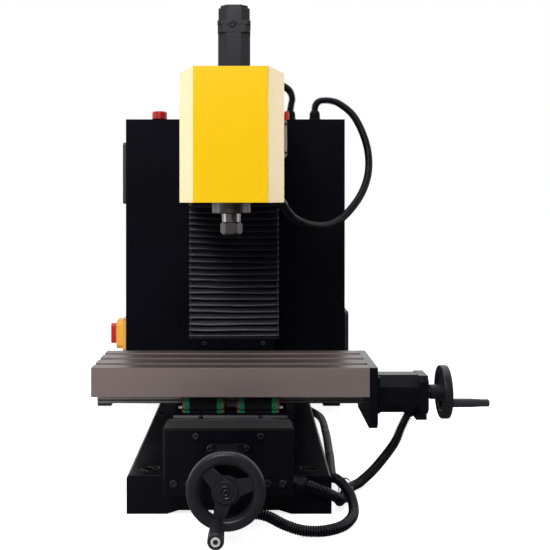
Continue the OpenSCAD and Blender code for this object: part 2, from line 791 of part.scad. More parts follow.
module bellows_bracket() {
  t = bellows_bracket_t;
  h = bellows_bracket_h;
  color(black) difference() {
    translate([-bellows_bracket_w / 2, 0, bellows_z]) rotate([90, 0, 90])
      linear_extrude(bellows_bracket_w) polygon([
        [bellows_bracket_y, 0], [bellows_bracket_y, -h], [bellows_bracket_y + t, -h],
        [bellows_bracket_y + t, -t], [column_y - t, -t], [column_y - t, -h], [column_y, -h],
        [column_y, 0]
      ]);
    both_sides(2 * bellows_screw_x) translate([0, bellows_bracket_y - 1, bellows_z - 8])
      rotate([-90, 0, 0]) cylinder(r = 2.5 + hole_gap, h = t + 2, $fn = 24);
  }
}

way_cover_w = 168;
way_cover_t = 1.2;
way_folds = 5;
way_lift = 3;  // height of the cover's end above the saddle's underside

// Point of the way cover's folded outline a share s of the way from the saddle to the bracket
function way_point(s, lift) = let (
  y0 = saddle_front,
  y1 = bracket_front + bracket_depth,
  rise = bracket_top - saddle_z - way_lift,
  fade = min(1, 6 * s, 6 * (1 - s))
) [y0 + (y1 - y0) * s, saddle_z + way_lift + rise * s + lift + fade * 4 * sin(360 * way_folds * s)];

module y_way_cover() {
  steps = 60;
  t = way_cover_t;
  front = bracket_front + 2;
  color(black) translate([-way_cover_w / 2, 0, 0]) rotate([90, 0, 90]) linear_extrude(way_cover_w)
    polygon(concat(
      [for (i = [0:steps]) way_point(i / steps, 0)],
      [[front, bracket_top], [front, bracket_top + t]],
      [for (i = [steps:-1:0]) way_point(i / steps, t)]
    ));
}

// ---------------------------------------------------------------- cabinet and cables

vent_t = 11;
vent_hole = vent_size - 24;
gland_hole = 0.7 * gland_d;
under_gland = [route_y[len(route_y) - 1].x, route_y[len(route_y) - 1].y, cabinet_z];
side_gland = [bracket_w / 2, route_x[len(route_x) - 1].y, route_x[len(route_x) - 1].z];

module cabinet() {
  t = sheet_t;
  lip = 12;
  color(black) difference() {
    translate([cabinet_side_l, cabinet_y, cabinet_z]) cube([cabinet_w, cabinet_depth - t, cabinet_h]);
    translate([cabinet_side_l + t, cabinet_y + t, cabinet_z + t])
      cube([cabinet_w - 2 * t, cabinet_depth - 3 * t, cabinet_h - 2 * t]);
    translate([cabinet_side_l + lip, cabinet_back - 2 * t - 1, cabinet_z + lip])
      cube([cabinet_w - 2 * lip, t + 2, cabinet_h - 2 * lip]);
    translate([cabinet_side_l - 1, vent_y, vent_high_z]) rotate([0, 90, 0])
      cylinder(d = vent_hole, h = t + 2);
    translate([cabinet_side_r - t - 1, vent_y, vent_low_z]) rotate([0, 90, 0])
      cylinder(d = vent_hole, h = t + 2);
    translate([cabinet_side_l - 1, switch_y, switch_z]) rotate([0, 90, 0]) cylinder(d = 22, h = t + 2);
    for (x = gland_x) translate([x, top_y, cabinet_top - t - 1]) cylinder(d = gland_hole, h = t + 2);
    translate([estop_x, top_y, cabinet_top - t - 1]) cylinder(d = 22, h = t + 2);
    translate(under_gland - [0, 0, 1]) cylinder(d = gland_hole, h = t + 2);
  }
}

module cabinet_rear_panel() {
  t = sheet_t;
  color(black) difference() {
    translate([cabinet_side_l, cabinet_back - t, cabinet_z]) cube([cabinet_w, t, cabinet_h]);
    for (s = [-1, 1], i = [0:3]) translate([cabinet_x + s * (cabinet_w / 2 - 6), cabinet_back - t - 1,
      cabinet_z + 30 + i * (cabinet_h - 60) / 3]) rotate([-90, 0, 0]) cylinder(d = 4.4, h = t + 2, $fn = 24);
  }
}

inner_y = cabinet_y + sheet_t;

supply_size = [215, 50, 114];
driver_size = [34, 70, 118];
driver_pitch = 58;
board_size = [190, 2, 120];

module power_supply() {
  x = cabinet_x - 165;
  z = cabinet_z + 26;
  slot_h = supply_size.z - 48;
  color(steel) difference() {
    translate([x, inner_y, z]) cube(supply_size);
    for (i = [0:9]) translate([x + 15 + i * 18, inner_y + supply_size.y - 6, z + 24]) cube([8, 7, slot_h]);
  }
}

module motor_drivers() {
  color(dark) for (i = [0:3]) translate([cabinet_x - 160 + i * driver_pitch, inner_y, cabinet_z + 170]) {
    cube(driver_size);
    for (k = [0:6]) translate([driver_size.x, 4, 8 + k * 15]) cube([8, driver_size.y - 8, 4]);
  }
}

module controller_board() {
  x = cabinet_x - 120;
  z = cabinet_z + 330;
  color([0.1, 0.35, 0.2]) {
    translate([x, inner_y + 12, z]) cube(board_size);
    for (a = [8, board_size.x - 8], b = [8, board_size.z - 8])
      translate([x + a, inner_y, z + b]) rotate([-90, 0, 0])
      cylinder(d = 6, h = 12, $fn = 24);
    for (i = [0:3]) translate([x + 20 + i * 42, inner_y + 14, z + 6]) cube([30, 10, 12]);
    translate([x + 70, inner_y + 14, z + 55]) cube([28, 4, 28]);
  }
}

// Louvred cover along +Z over a square opening, its slats sloping down toward local -X
module vent_cover() {
  w = vent_size;
  slats = 9;
  step = (w - 20) / slats;
  difference() {
    linear_extrude(vent_t) square_with_corners(w, 5);
    translate([0, 0, vent_t / 2 - 0.2]) cube([w - 16, w - 16, vent_t + 1], center = true);
    at_corners(w - 10) translate([0, 0, -eps]) cylinder(d = 4.4, h = vent_t + 1, $fn = 24);
  }
  for (i = [0:slats - 1]) translate([-w / 2 + 10 + (i + 0.5) * step, 0, 0]) rotate([90, 0, 0])
    linear_extrude(w - 15, center = true)
      polygon([[-4, 0.4], [-2.4, 0.4], [4, vent_t - 0.6], [2.4, vent_t - 0.6]]);
}

module vent_covers() {
  color([0.35, 0.35, 0.37]) {
    translate([cabinet_side_l, vent_y, vent_high_z]) rotate([0, -90, 0]) vent_cover();
    translate([cabinet_side_r, vent_y, vent_low_z]) rotate([0, 90, 0]) rotate(180) vent_cover();
  }
}

switch_w = 64;
switch_t = 21;
knob_t = 13;
knob_stem_d = 10;

module switch_plate() {
  color([0.95, 0.65, 0.1]) translate([cabinet_side_l, switch_y, switch_z]) rotate([0, -90, 0]) difference() {
    union() {
      linear_extrude(8) square_with_corners(switch_w, 6);
      translate([0, 0, 8]) linear_extrude(switch_t - 8) square_with_corners(switch_w - 10, 8);
      translate([0, 0, -18]) cylinder(d = 21, h = 18 + eps);
    }
    translate([0, 0, -10]) cylinder(r = knob_stem_d / 2 + run, h = switch_t + 11);
    at_corners(switch_w - 9) translate([0, 0, -eps]) cylinder(d = 4.4, h = 9, $fn = 24);
  }
}

module switch_knob() {
  lift = 0.4;
  color([0.8, 0.1, 0.08]) translate([cabinet_side_l - switch_t, switch_y, switch_z]) rotate([0, -90, 0]) {
    translate([0, 0, -28]) cylinder(d = knob_stem_d, h = 28 + lift + eps);
    translate([0, 0, lift]) rotate_extrude() polygon([[0, 0], [21, 0], [20, 4], [0, 4]]);
    translate([0, 0, lift + 4 - eps]) linear_extrude(knob_t - 4) polygon([
      [-19, -4.5], [-15, -6.5], [15, -6.5], [19, -4.5], [19, 4.5], [15, 6.5], [-15, 6.5], [-19, 4.5]
    ]);
  }
}

estop_head_d = 30;
estop_travel = 4;
estop_collar_h = 2.5;
estop_top = 19.5;

module estop_base() {
  color([0.12, 0.12, 0.13]) translate([estop_x, top_y, cabinet_top]) difference() {
    union() {
      rotate_extrude() polygon([[0, 0], [12.5, 0], [12.5, estop_collar_h], [0, estop_collar_h]]);
      translate([0, 0, -34]) cylinder(d = 21, h = 34 + eps);
    }
    translate([0, 0, -26]) cylinder(r = 6 + run, h = 26 + estop_collar_h + 1);
  }
}

module estop_button() {
  lift = estop_collar_h + estop_travel + 0.5;
  skirt = estop_travel + 0.4;
  color([0.8, 0.08, 0.07]) translate([estop_x, top_y, cabinet_top]) {
    translate([0, 0, -18]) cylinder(d = 12, h = 18 + lift + eps);
    rotate_extrude() polygon([
      [0, lift], [13.3, lift], [13.3, skirt], [14.5, skirt], [14.5, estop_top - 3],
      [13.5, estop_top - 1], [11, estop_top], [0, estop_top]
    ]);
  }
}

z_gland = [route_z[len(route_z) - 1].x, z_axis_y + motor_w / 2, route_z[len(route_z) - 1].z];

module cable_glands() {
  color(black) {
    for (x = gland_x) translate([x, top_y, cabinet_top]) gland(gland_h);
    translate(under_gland) rotate([180, 0, 0]) gland(cabinet_z - route_y[len(route_y) - 1].z);
    translate(side_gland) rotate([0, 90, 0]) gland(route_x[len(route_x) - 1].x - side_gland.x);
    translate([y_gland_x, route_y[0].y, route_y[0].z]) rotate([0, 90, 0]) gland(route_y[0].x - y_gland_x);
    translate(z_gland) rotate([-90, 0, 0]) gland(route_z[len(route_z) - 1].y - z_gland.y);
  }
}
y_gland_x = 12;

module conduit_spindle() {
  color(dark) tube(route_spindle, conduit_d);
}

module conduit_z() {
  color(dark) tube(route_z, conduit_d);
}

module conduit_y() {
  color(dark) tube(route_y, conduit_d);
}

module conduit_x_lower() {
  color(dark) tube(route_x, conduit_d, route_x_joint, len(route_x) - 1);
}

module conduit_x_upper() {
  color(dark) tube(route_x, conduit_d, 0, route_x_joint, 0.1);
}

tie_place = [158.6, -196, 9];
tie_rise = 17;

module cable_tie() {
  w = 5;
  t = 1.4;
  color(black) translate(tie_place) rotate([90, 0, 0]) {
    linear_extrude(w, center = true) difference() {
      tie_loop(conduit_d / 2 + 0.3 + t);
      tie_loop(conduit_d / 2 + 0.3);
    }
    translate([conduit_d / 2 + t, tie_rise / 2 - 3, -4]) cube([5, 6, 8]);
  }
}

// Straight-sided loop around two conduits, one above the other
module tie_loop(r) {
  circle(r = r);
  translate([0, tie_rise]) circle(r = r);
  translate([-r, 0]) square([2 * r, tie_rise]);
}

module frame_screws() {
  small = 5;
  color(steel) {
    for (s = [-1, 1]) {
      for (x = bracket_screw_x) translate([s * x, bracket_front, bracket_screw_z])
        rotate([90, 0, 0]) cap_screw(bolt_d, bracket_depth + 18);
      translate([s * bracket_small_x, bracket_front, bracket_small_z]) rotate([90, 0, 0])
        cap_screw(small, bracket_plate_t - 1);
      translate([s * bellows_screw_x, bellows_bracket_y, bellows_z - 8]) rotate([90, 0, 0])
        cap_screw(small, bellows_bracket_t);
      for (i = [0:3]) translate([cabinet_x + s * (cabinet_w / 2 - 6), cabinet_back,
        cabinet_z + 30 + i * (cabinet_h - 60) / 3]) rotate([-90, 0, 0]) cap_screw(4, sheet_t);
    }
    translate([0, bracket_front - 5, y_axis_z]) rotate([90, 0, 0]) at_corners(motor_pitch)
      cap_screw(small, 12);
  }
}

// ---------------------------------------------------------------- saddle

saddle_screw_x = 43;
saddle_screw_z = saddle_z + 13.5;
y_nut_front = saddle_y - 22;

module saddle() {
  ledge = 6;
  color(black) difference() {
    translate([-saddle_w / 2, 0, 0]) rotate([90, 0, 90]) linear_extrude(saddle_w) polygon([
      [saddle_front, saddle_z], [saddle_front + saddle_len, saddle_z],
      [saddle_front + saddle_len, x_seat_z], [saddle_front + ledge, x_seat_z],
      [saddle_front + 2, x_seat_z - 2], [saddle_front, x_seat_z - ledge]
    ]);
    translate([-nut_block / 2 - 1, y_nut_front - nut_flange_t - 1, saddle_z - 1])
      cube([nut_block + 2, nut_flange_t + nut_block + 3, y_axis_z + nut_block / 2 - saddle_z + 1]);
    for (s = [-1, 1]) translate([s * saddle_screw_x, saddle_front - 1, saddle_screw_z])
      rotate([-90, 0, 0]) cylinder(r = 2.5 + hole_gap, h = 14, $fn = 24);
  }
}

module y_carriages() {
  color([0.2, 0.2, 0.22]) for (s = [-1, 1]) on_y_rails(saddle_y + s * carriage_step) carriage_block();
}

module x_carriages() {
  color([0.2, 0.2, 0.22]) for (s = [-1, 1]) on_x_rails(s * x_carriage_step) carriage_block();
}
x_carriage_step = 40;

module carriage_caps() {
  color([0.05, 0.5, 0.3]) {
    for (s = [-1, 1]) on_y_rails(saddle_y + s * carriage_step) carriage_end_caps();
    for (s = [-1, 1]) on_x_rails(s * x_carriage_step) carriage_end_caps();
  }
}

module carriage_seals() {
  color([0.6, 0.1, 0.08]) {
    for (s = [-1, 1]) on_y_rails(saddle_y + s * carriage_step) carriage_end_seals();
    for (s = [-1, 1]) on_x_rails(s * x_carriage_step) carriage_end_seals();
  }
}

module ball_nuts() {
  color(steel) {
    translate([0, y_nut_front, y_axis_z]) rotate([-90, 0, 0]) {
      nut_bracket(nut_block, nut_block, nut_block);
      translate([0, 0, -nut_flange_t]) rotate(0) ball_nut();
    }
    translate([-nut_block / 2, table_y, x_axis_z]) rotate([0, 90, 0]) {
      nut_bracket(nut_block, nut_block, nut_block);
      translate([0, 0, -nut_flange_t]) rotate(90) ball_nut();
    }
  }
}

module saddle_screws() {
  color(steel) for (s = [-1, 1]) translate([s * saddle_screw_x, saddle_front, saddle_screw_z])
    rotate([90, 0, 0]) cap_screw(5, 12);
}

// ---------------------------------------------------------------- table

t_slot_foot_w = 1.75 * t_slot_w;
t_slot_foot_h = 0.42 * t_slot_depth;

// Outline of one T-slot below z = 0
module t_slot() {
  translate([-t_slot_w / 2, -t_slot_depth]) square([t_slot_w, t_slot_depth + 1]);
  translate([-t_slot_foot_w / 2, -t_slot_depth]) square([t_slot_foot_w, t_slot_foot_h]);
  polygon([[-t_slot_w / 2 - 1, 0], [t_slot_w / 2 + 1, 0], [0, -t_slot_w / 2 - 1]]);
}

module table() {
  half = table_depth / 2;
  edge = 1;
  color([0.55, 0.5, 0.49]) translate([-table_len / 2, table_y, 0]) rotate([90, 0, 90])
    linear_extrude(table_len) difference() {
      polygon([
        [-half, table_z], [half, table_z], [half, table_top_z - edge], [half - edge, table_top_z],
        [edge - half, table_top_z], [-half, table_top_z - edge]
      ]);
      translate([-channel_w / 2, table_z - 1]) square([channel_w, channel_h + 1]);
      for (i = [0:t_slot_count - 1])
        translate([(i - (t_slot_count - 1) / 2) * t_slot_pitch, table_top_z]) t_slot();
    }
}

module x_rails() {
  color(steel) on_x_rails(0) rail(x_rail_len);
}

module x_end_plate() {
  half = table_depth / 2;
  h = table_top_z - end_plate_z;
  color(black) difference() {
    translate([table_len / 2, table_y, end_plate_z]) rotate([90, 0, 90]) linear_extrude(end_plate_t)
      polygon([
        [8 - half, 0], [half - 8, 0], [half, 8], [half, h], [-half, h], [-half, 8]
      ]);
    translate([table_len / 2 - 1, table_y, x_axis_z]) rotate([0, 90, 0])
      cylinder(d = coupling_d + 2, h = end_plate_t + 2);
    translate([x_motor_x, table_y, x_axis_z]) rotate([0, 90, 0]) at_corners(motor_pitch)
      translate([0, 0, -9]) cylinder(r = 2.5 + hole_gap, h = 10, $fn = 24);
  }
}

x_box_len = 21;
x_box_x = x_motor_end - x_box_len + 4;
x_box_h = motor_w / 2 + 10;

module x_motor() {
  p = route_x[0];
  color(black) {
    difference() {
      union() {
        translate([x_motor_x, table_y, x_axis_z]) rotate([0, 90, 0]) motor_frame(x_motor_len);
        translate([x_box_x, table_y - 18, x_axis_z - x_box_h])
          cube([x_motor_end - x_box_x - 1, 36, x_box_h - motor_w / 2 + 0.3]);
      }
    }
    along(p, p - route_x[1]) cylinder(d = 16, h = 12);
    translate([x_motor_x + 5, table_y, x_axis_z]) rotate([0, 90, 0]) at_corners(motor_pitch)
      cap_screw(5, 12);
  }
}

x_block_axis_h = table_z + channel_h - x_axis_z;
x_block_h = x_block_axis_h + 18;

module x_block(x, t) {
  translate([x, table_y, table_z + channel_h]) rotate([-90, 0, 90]) mirror([1, 0, 0])
    translate([0, 0, -t]) linear_extrude(t) narrow_profile(narrow_block_w, x_block_h, x_block_axis_h);
}

module x_bearing_blocks() {
  color(dark) {
    x_block(x_support_x, support_block_t);
    x_block(x_fixed_x, fixed_block_t);
  }
}

// ---------------------------------------------------------------- screws and handwheels

spokes = 3;

// Window between two spokes: a ring sector that narrows toward the hub
module wheel_window(outer_r, inner_r, turn) {
  wide = 180 / spokes - 13;
  slim = 180 / spokes - 33;
  n = 12;
  polygon(concat(
    [for (i = [0:n]) let (a = turn - wide + 2 * wide * i / n) outer_r * [cos(a), sin(a)]],
    [for (i = [n:-1:0]) let (a = turn - slim + 2 * slim * i / n) inner_r * [cos(a), sin(a)]]
  ));
}

// Three-spoke handwheel along +Z with its hub from z = 0, one spoke along local +X,
// and the bolt of its revolving grip at radius grip_r on that spoke
module handwheel(d, hub_d, hub_t, rim_z, corner, grip_r, grip_len, grip_head_d) {
  rim_w = 0.153 * d;
  inner_r = d / 2 - rim_w;
  r = wheel_rim_t / 2;
  web_t = 7;
  difference() {
    union() {
      translate([0, 0, rim_z]) rotate_extrude($fn = 96) {
        for (x = [inner_r + corner, d / 2 - corner], y = [corner - r, r - corner])
          translate([x, y]) circle(r = corner, $fn = 32);
        translate([inner_r + corner, -r]) square([rim_w - 2 * corner, 2 * r]);
        translate([inner_r, corner - r]) square([rim_w, 2 * (r - corner)]);
      }
      translate([0, 0, rim_z - web_t / 2 - 1]) linear_extrude(web_t) difference() {
        circle(r = inner_r + 2);
        for (i = [0:spokes - 1]) wheel_window(inner_r - 0.5, hub_d / 2 + 3, (i + 0.5) * 360 / spokes);
      }
      rotate_extrude() polygon([
        [0, 0], [hub_d / 2 - 1, 0], [hub_d / 2, 1], [hub_d / 2, hub_t - 1.5],
        [hub_d / 2 - 1.5, hub_t], [0, hub_t]
      ]);
      translate([grip_r, 0, 0]) {
        cylinder(d = grip_bolt_d, h = rim_z + r + grip_len);
        translate([0, 0, rim_z + r + grip_len - 3]) cylinder(d = grip_head_d, h = 3);
        translate([0, 0, rim_z - web_t / 2 - 1]) cylinder(d = 14, h = web_t / 2 + 1 + r);
      }
    }
    translate([0, 0, -eps]) cylinder(d = shaft_d, h = hub_t + 1);
    translate([grip_r, 0, -eps]) cylinder(d = grip_bolt_d + 2, h = rim_z - web_t / 2 - 1 - eps);
  }
  difference() {
    translate([0, 0, hub_t - 4]) cylinder(d = 11, h = 5);
    translate([0, 0, hub_t - 5]) cylinder(d = shaft_d, h = 5);
    translate([0, 0, hub_t - 1]) cylinder(d = 5, h = 3, $fn = 6);
  }
}

// Revolving grip along +Z from the wheel's boss, narrow_d thick at one end and wide_d at the other
module grip(len, boss_d, tip_d, head_d) {
  gap = 0.3;
  difference() {
    rotate_extrude() polygon([
      [0, gap], [boss_d / 2 - 1, gap], [boss_d / 2, gap + 1], [(boss_d + tip_d) / 4 + 0.4, len / 2],
      [tip_d / 2, 0.8 * len], [tip_d / 2, len - 1.5], [tip_d / 2 - 1.5, len], [0, len]
    ]);
    cylinder(r = grip_bolt_d / 2 + run, h = len + 1);
    translate([0, 0, len - 3 - gap]) cylinder(d = head_d + 0.6, h = 5);
  }
}

y_rim_z = wheel_hub_t - 7;
x_hub_t = 27;
x_rim_z = x_hub_t - 5;
y_grip_r = 39;
x_grip_r = 33;
y_grip_turn = 195;  // of the grip's spoke, clockwise from straight up seen from the front
x_grip_turn = 17;   // of the grip's spoke, below the horizontal on the front side
y_grip_head_d = 12;
x_grip_head_d = 8;

// Frame of the Y handwheel: +Z out to the front, +X along the grip's spoke
module at_y_wheel() {
  translate([0, y_motor_back - wheel_gap, y_axis_z]) rotate([90, 0, 0]) rotate(90 - y_grip_turn) children();
}

// Frame of the X handwheel: +Z out to the right, +X along the grip's spoke
module at_x_wheel() {
  translate([x_hub_x, table_y, x_axis_z]) rotate([0, 90, 0]) rotate(x_grip_turn - 90) children();
}

y_coupling_front = base_front - coupling_gap - coupling_len;

module y_screw() {
  screw_start = y_coupling_front + coupling_len / 2;
  thread_start = y_fixed_front + fixed_block_t + 1;
  color(steel) {
    translate([0, screw_start, y_axis_z]) rotate([-90, 0, 0])
      ball_screw(thread_start - screw_start, y_support_front - 1 - thread_start, support_block_t + 1);
    translate([0, y_coupling_front, y_axis_z]) rotate([-90, 0, 0]) coupling(shaft_d, journal_d);
    translate([0, y_hub_front + 1, y_axis_z]) rotate([-90, 0, 0])
      cylinder(d = shaft_d, h = screw_start - y_hub_front - 1);
  }
}

module y_handwheel() {
  color(dark) at_y_wheel()
    handwheel(y_wheel_d, wheel_hub_d, wheel_hub_t, y_rim_z, 5.5, y_grip_r, y_grip_len, y_grip_head_d);
}

module y_grip() {
  color(black) at_y_wheel() translate([y_grip_r, 0, y_rim_z + wheel_rim_t / 2])
    grip(y_grip_len, 16, 19, y_grip_head_d);
}

x_coupling_x = x_fixed_x + fixed_block_t + coupling_gap + 1;

module x_screw() {
  screw_end = x_coupling_x + coupling_len / 2;
  thread_start = x_support_x + support_block_t + 1;
  thread_end = x_fixed_x - 1;
  color(steel) translate([0, table_y, x_axis_z]) rotate([0, 90, 0]) {
    translate([0, 0, x_support_x])
      ball_screw(support_block_t + 1, thread_end - thread_start, screw_end - thread_end);
    translate([0, 0, x_coupling_x]) coupling(journal_d, shaft_d);
    translate([0, 0, screw_end]) cylinder(d = shaft_d, h = x_hub_x + x_hub_t - 1 - screw_end);
  }
}

module x_handwheel() {
  color(dark) at_x_wheel()
    handwheel(x_wheel_d, x_hub_d, x_hub_t, x_rim_z, 2.5, x_grip_r, x_grip_len, x_grip_head_d);
}

module x_grip() {
  color(steel) at_x_wheel() translate([x_grip_r, 0, x_rim_z + wheel_rim_t / 2])
    grip(x_grip_len, 13, 11, x_grip_head_d);
}

module z_screw() {
  screw_end = z_coupling_z + coupling_len / 2;
  thread_start = z_support_z + support_block_t + 1;
  thread_end = z_fixed_z - 1;
  color(steel) translate([0, z_axis_y, 0]) {
    translate([0, 0, z_support_z])
      ball_screw(support_block_t + 1, thread_end - thread_start, screw_end - thread_end);
    translate([0, 0, z_coupling_z]) coupling(journal_d, shaft_d);
    translate([0, 0, screw_end]) cylinder(d = shaft_d, h = z_motor_z + z_motor_len - screw_end);
  }
}

// ---------------------------------------------------------------- head

nut_flat_z = nut_block - 4;
back_plate_t = 20;
cheek_t = 14;
slab_t = 20;
bearing_w = 12;
bearing_d = 47;
spindle_d = 25;

module head_casting() {
  inner_w = casting_w - 2 * cheek_t;
  plate_front = casting_back - back_plate_t;
  body_h = casting_top - casting_z - 12;
  clamp_front = table_y - cartridge_d / 2 - 7;
  rib = 12;
  pocket_len = (plate_front - casting_web_y - cheek_t - rib) / 2;
  p = route_spindle[len(route_spindle) - 1];
  color(black) {
    difference() {
      union() {
        translate([-casting_w / 2 + 4, plate_front, casting_z])
          cube([casting_w - 8, back_plate_t, casting_top - casting_z]);
        difference() {
          translate([-casting_w / 2, casting_web_y, casting_z])
            cube([casting_w, plate_front - casting_web_y + eps, body_h]);
          for (i = [0, 1])
            translate([-inner_w / 2, casting_web_y + cheek_t + i * (pocket_len + rib), casting_z + slab_t])
              cube([inner_w, pocket_len + i * eps * 2, body_h]);
        }
        translate([0, 0, casting_z]) linear_extrude(clamp_top - casting_z) polygon([
          [-clamp_w / 2, casting_web_y + 1], [-clamp_w / 2, clamp_front + 14],
          [14 - clamp_w / 2, clamp_front], [clamp_w / 2 - 14, clamp_front],
          [clamp_w / 2, clamp_front + 14], [clamp_w / 2, casting_web_y + 1]
        ]);
      }
      translate([0, table_y, casting_z - 1]) cylinder(d = cartridge_d, h = clamp_top - casting_z + 2);
      translate([-1, clamp_front - 1, casting_z - 1])
        cube([2, table_y - clamp_front, clamp_top - casting_z + 2]);
      translate([-nut_flange_d / 2 - 1.5, z_axis_y - nut_flat_z / 2, z_nut_z - nut_flange_t - 1])
        cube([nut_flange_d + 3, nut_flat_z, nut_flange_t + nut_block + 2]);
      translate([-narrow_block_w / 2 - work_gap, column_y - z_block_out - work_gap, z_fixed_z - work_gap])
        cube([narrow_block_w + 2 * work_gap, z_block_out, casting_top - z_fixed_z + work_gap + 1]);
      translate([-screw_d / 2 - 3, z_axis_y - screw_d / 2 - 3, casting_z - 1])
        cube([screw_d + 6, screw_d, casting_top - casting_z + 2]);
    }
    along(p, p - route_spindle[len(route_spindle) - 2]) cylinder(d = 18, h = 28);
  }
}

module z_carriages() {
  color([0.2, 0.2, 0.22]) for (z = z_carriage_z) on_z_rails(z) {
    carriage_block();
    carriage_end_caps();
    carriage_end_seals();
  }
}

module z_nut() {
  color(steel) translate([0, z_axis_y, z_nut_z]) {
    nut_bracket(nut_block, nut_flat_z, nut_block);
    translate([0, 0, -nut_flange_t]) intersection() {
      ball_nut();
      cube([nut_flange_d + 1, nut_flat_z, 4 * nut_body_len], center = true);
    }
  }
}

// Half of the cover's outline moved in by a distance, from the back round to the front
function cover_half(s, in) = let (
  flare = atan2((cover_w - cover_front_w) / 2, cover_corner_y - cover_front)
) [
  [s * (cover_w / 2 - in), cover_back],
  [s * (cover_w / 2 - in), cover_corner_y + in * tan(flare / 2)],
  [s * (cover_front_w / 2 - in * tan(45 - flare / 2)), cover_front + in]
];

module cover_outline(in) {
  right = cover_half(1, in);
  left = cover_half(-1, in);
  polygon([right[0], right[1], right[2], left[2], left[1], left[0]]);
}

module head_cover() {
  color([1, 0.8, 0.06]) translate([0, 0, head_z]) {
    linear_extrude(cover_h - cover_t) difference() {
      cover_outline(0);
      cover_outline(cover_t);
      translate([cover_t - cover_w / 2, cover_back - 1]) square([cover_w - 2 * cover_t, 3]);
    }
    translate([0, 0, cover_h - cover_t - eps]) linear_extrude(cover_t + eps) cover_outline(0);
  }
}

seat_low = cartridge_z + 5;
seat_high = cartridge_top - 24;

module spindle_cartridge() {
  r = cartridge_d / 2;
  b = bearing_d / 2;
  color(steel) translate([0, table_y, 0]) rotate_extrude() polygon([
    [nose_d / 2 + 0.5, cartridge_z], [r - 1.5, cartridge_z], [r, cartridge_z + 1.5],
    [r, cartridge_top], [b - 4, cartridge_top], [b - 4, seat_high + bearing_w],
    [b, seat_high + bearing_w], [b, seat_high], [b - 4, seat_high], [b - 4, seat_low + 2 * bearing_w],
    [b, seat_low + 2 * bearing_w], [b, seat_low], [nose_d / 2 + 0.5, seat_low]
  ]);
}

module spindle_bearings() {
  color(steel) translate([0, table_y, 0]) for (z = [seat_low, seat_low + bearing_w, seat_high])
    translate([0, 0, z]) rotate_extrude() polygon([
      [spindle_d / 2 + run, 0.1], [bearing_d / 2, 0.1], [bearing_d / 2, bearing_w - 0.1],
      [bearing_d / 2 - 4, bearing_w - 0.1], [bearing_d / 2 - 4, bearing_w - 1],
      [spindle_d / 2 + 4, bearing_w - 1], [spindle_d / 2 + 4, bearing_w - 0.1],
      [spindle_d / 2 + run, bearing_w - 0.1]
    ]);
}

spindle_motor_len = 100;

module spindle_motor() {
  r = spindle_motor_d / 2;
  color(dark) translate([0, table_y, clamp_top]) rotate_extrude() polygon([
    [journal_d / 2 + run, 0], [r, 0], [r, 12], [r - 2, 14], [r - 2, spindle_motor_len - 16],
    [r, spindle_motor_len - 14], [r, spindle_motor_len - 3], [r - 3, spindle_motor_len],
    [journal_d / 2 + run, spindle_motor_len]
  ]);
}

side_plate_z = head_z + 71;
side_plate_h = 59;
side_plate_y = cover_corner_y + 16;
side_plate_t = 2.5;
side_plate_out = 5;

module side_plate() {
  x = cover_w / 2;
  color(steel) difference() {
    union() {
      translate([x, side_plate_y, side_plate_z])
        cube([side_plate_t, 20, side_plate_h]);
      translate([x, side_plate_y + side_plate_t, side_plate_z]) rotate([90, 0, 0])
        linear_extrude(side_plate_t) polygon([
          [0, 0], [side_plate_out - 3, 0], [side_plate_out, 3], [side_plate_out, side_plate_h - 3],
          [side_plate_out - 3, side_plate_h], [0, side_plate_h]
        ]);
    }
    for (z = [7, side_plate_h - 7])
      translate([x + side_plate_out - 2.4, side_plate_y - 1, side_plate_z + z])
        rotate([-90, 0, 0]) cylinder(d = 2.6, h = side_plate_t + 2, $fn = 24);
  }
}

module air_plug() {
  color([0.8, 0.1, 0.08])
    translate([cover_w / 2 + side_plate_out - 0.5, side_plate_y + 3, side_plate_z + side_plate_h])
      rotate_extrude() polygon([[0, 0], [4.2, 0], [4.2, 9], [3.4, 10], [3.4, 13], [0, 13]]);
}

module spindle_shaft() {
  r = nose_d / 2;
  motor_end = clamp_top + spindle_motor_len - 4;
  color(steel) translate([0, table_y, 0]) rotate_extrude() polygon([
    [0, nose_z], [r - 0.5, nose_z], [r, nose_z + 0.5], [r, cartridge_z + 3], [r - 1, seat_low - 0.4],
    [spindle_d / 2, seat_low - 0.4], [spindle_d / 2, cartridge_top - 4],
    [journal_d / 2, cartridge_top - 4], [journal_d / 2, motor_end], [0, motor_end]
  ]);
}

collet_hole_d = 10;

module collet_nut() {
  r = collet_nut_d / 2;
  color(steel) translate([0, table_y, collet_nut_z]) difference() {
    intersection() {
      cylinder(r = r, h = collet_nut_len, $fn = 6);
      rotate_extrude() polygon([
        [0, 0], [r - 4, 0], [r - 0.3, 4], [r - 0.3, collet_nut_len - 3],
        [r - 3, collet_nut_len], [0, collet_nut_len]
      ]);
    }
    translate([0, 0, -1]) cylinder(d = collet_hole_d, h = collet_nut_len + 2);
  }
}

base();
column();
y_rails();
z_rails();
bearing_blocks();
y_motor_bracket();
y_motor();
z_motor_plate();
z_motor();
z_bellows();
bellows_bracket();
y_way_cover();
cabinet();
cabinet_rear_panel();
power_supply();
motor_drivers();
controller_board();
vent_covers();
switch_plate();
switch_knob();
estop_base();
estop_button();
cable_glands();
conduit_spindle();
conduit_z();
conduit_y();
conduit_x_lower();
conduit_x_upper();
cable_tie();
frame_screws();
saddle();
y_carriages();
x_carriages();
carriage_caps();
carriage_seals();
ball_nuts();
saddle_screws();
table();
x_rails();
x_end_plate();
x_motor();
x_bearing_blocks();
x_screw();
x_handwheel();
x_grip();
y_screw();
y_handwheel();
y_grip();
z_screw();
head_casting();
z_carriages();
z_nut();
head_cover();
spindle_cartridge();
spindle_bearings();
spindle_motor();
side_plate();
air_plug();
spindle_shaft();
collet_nut();
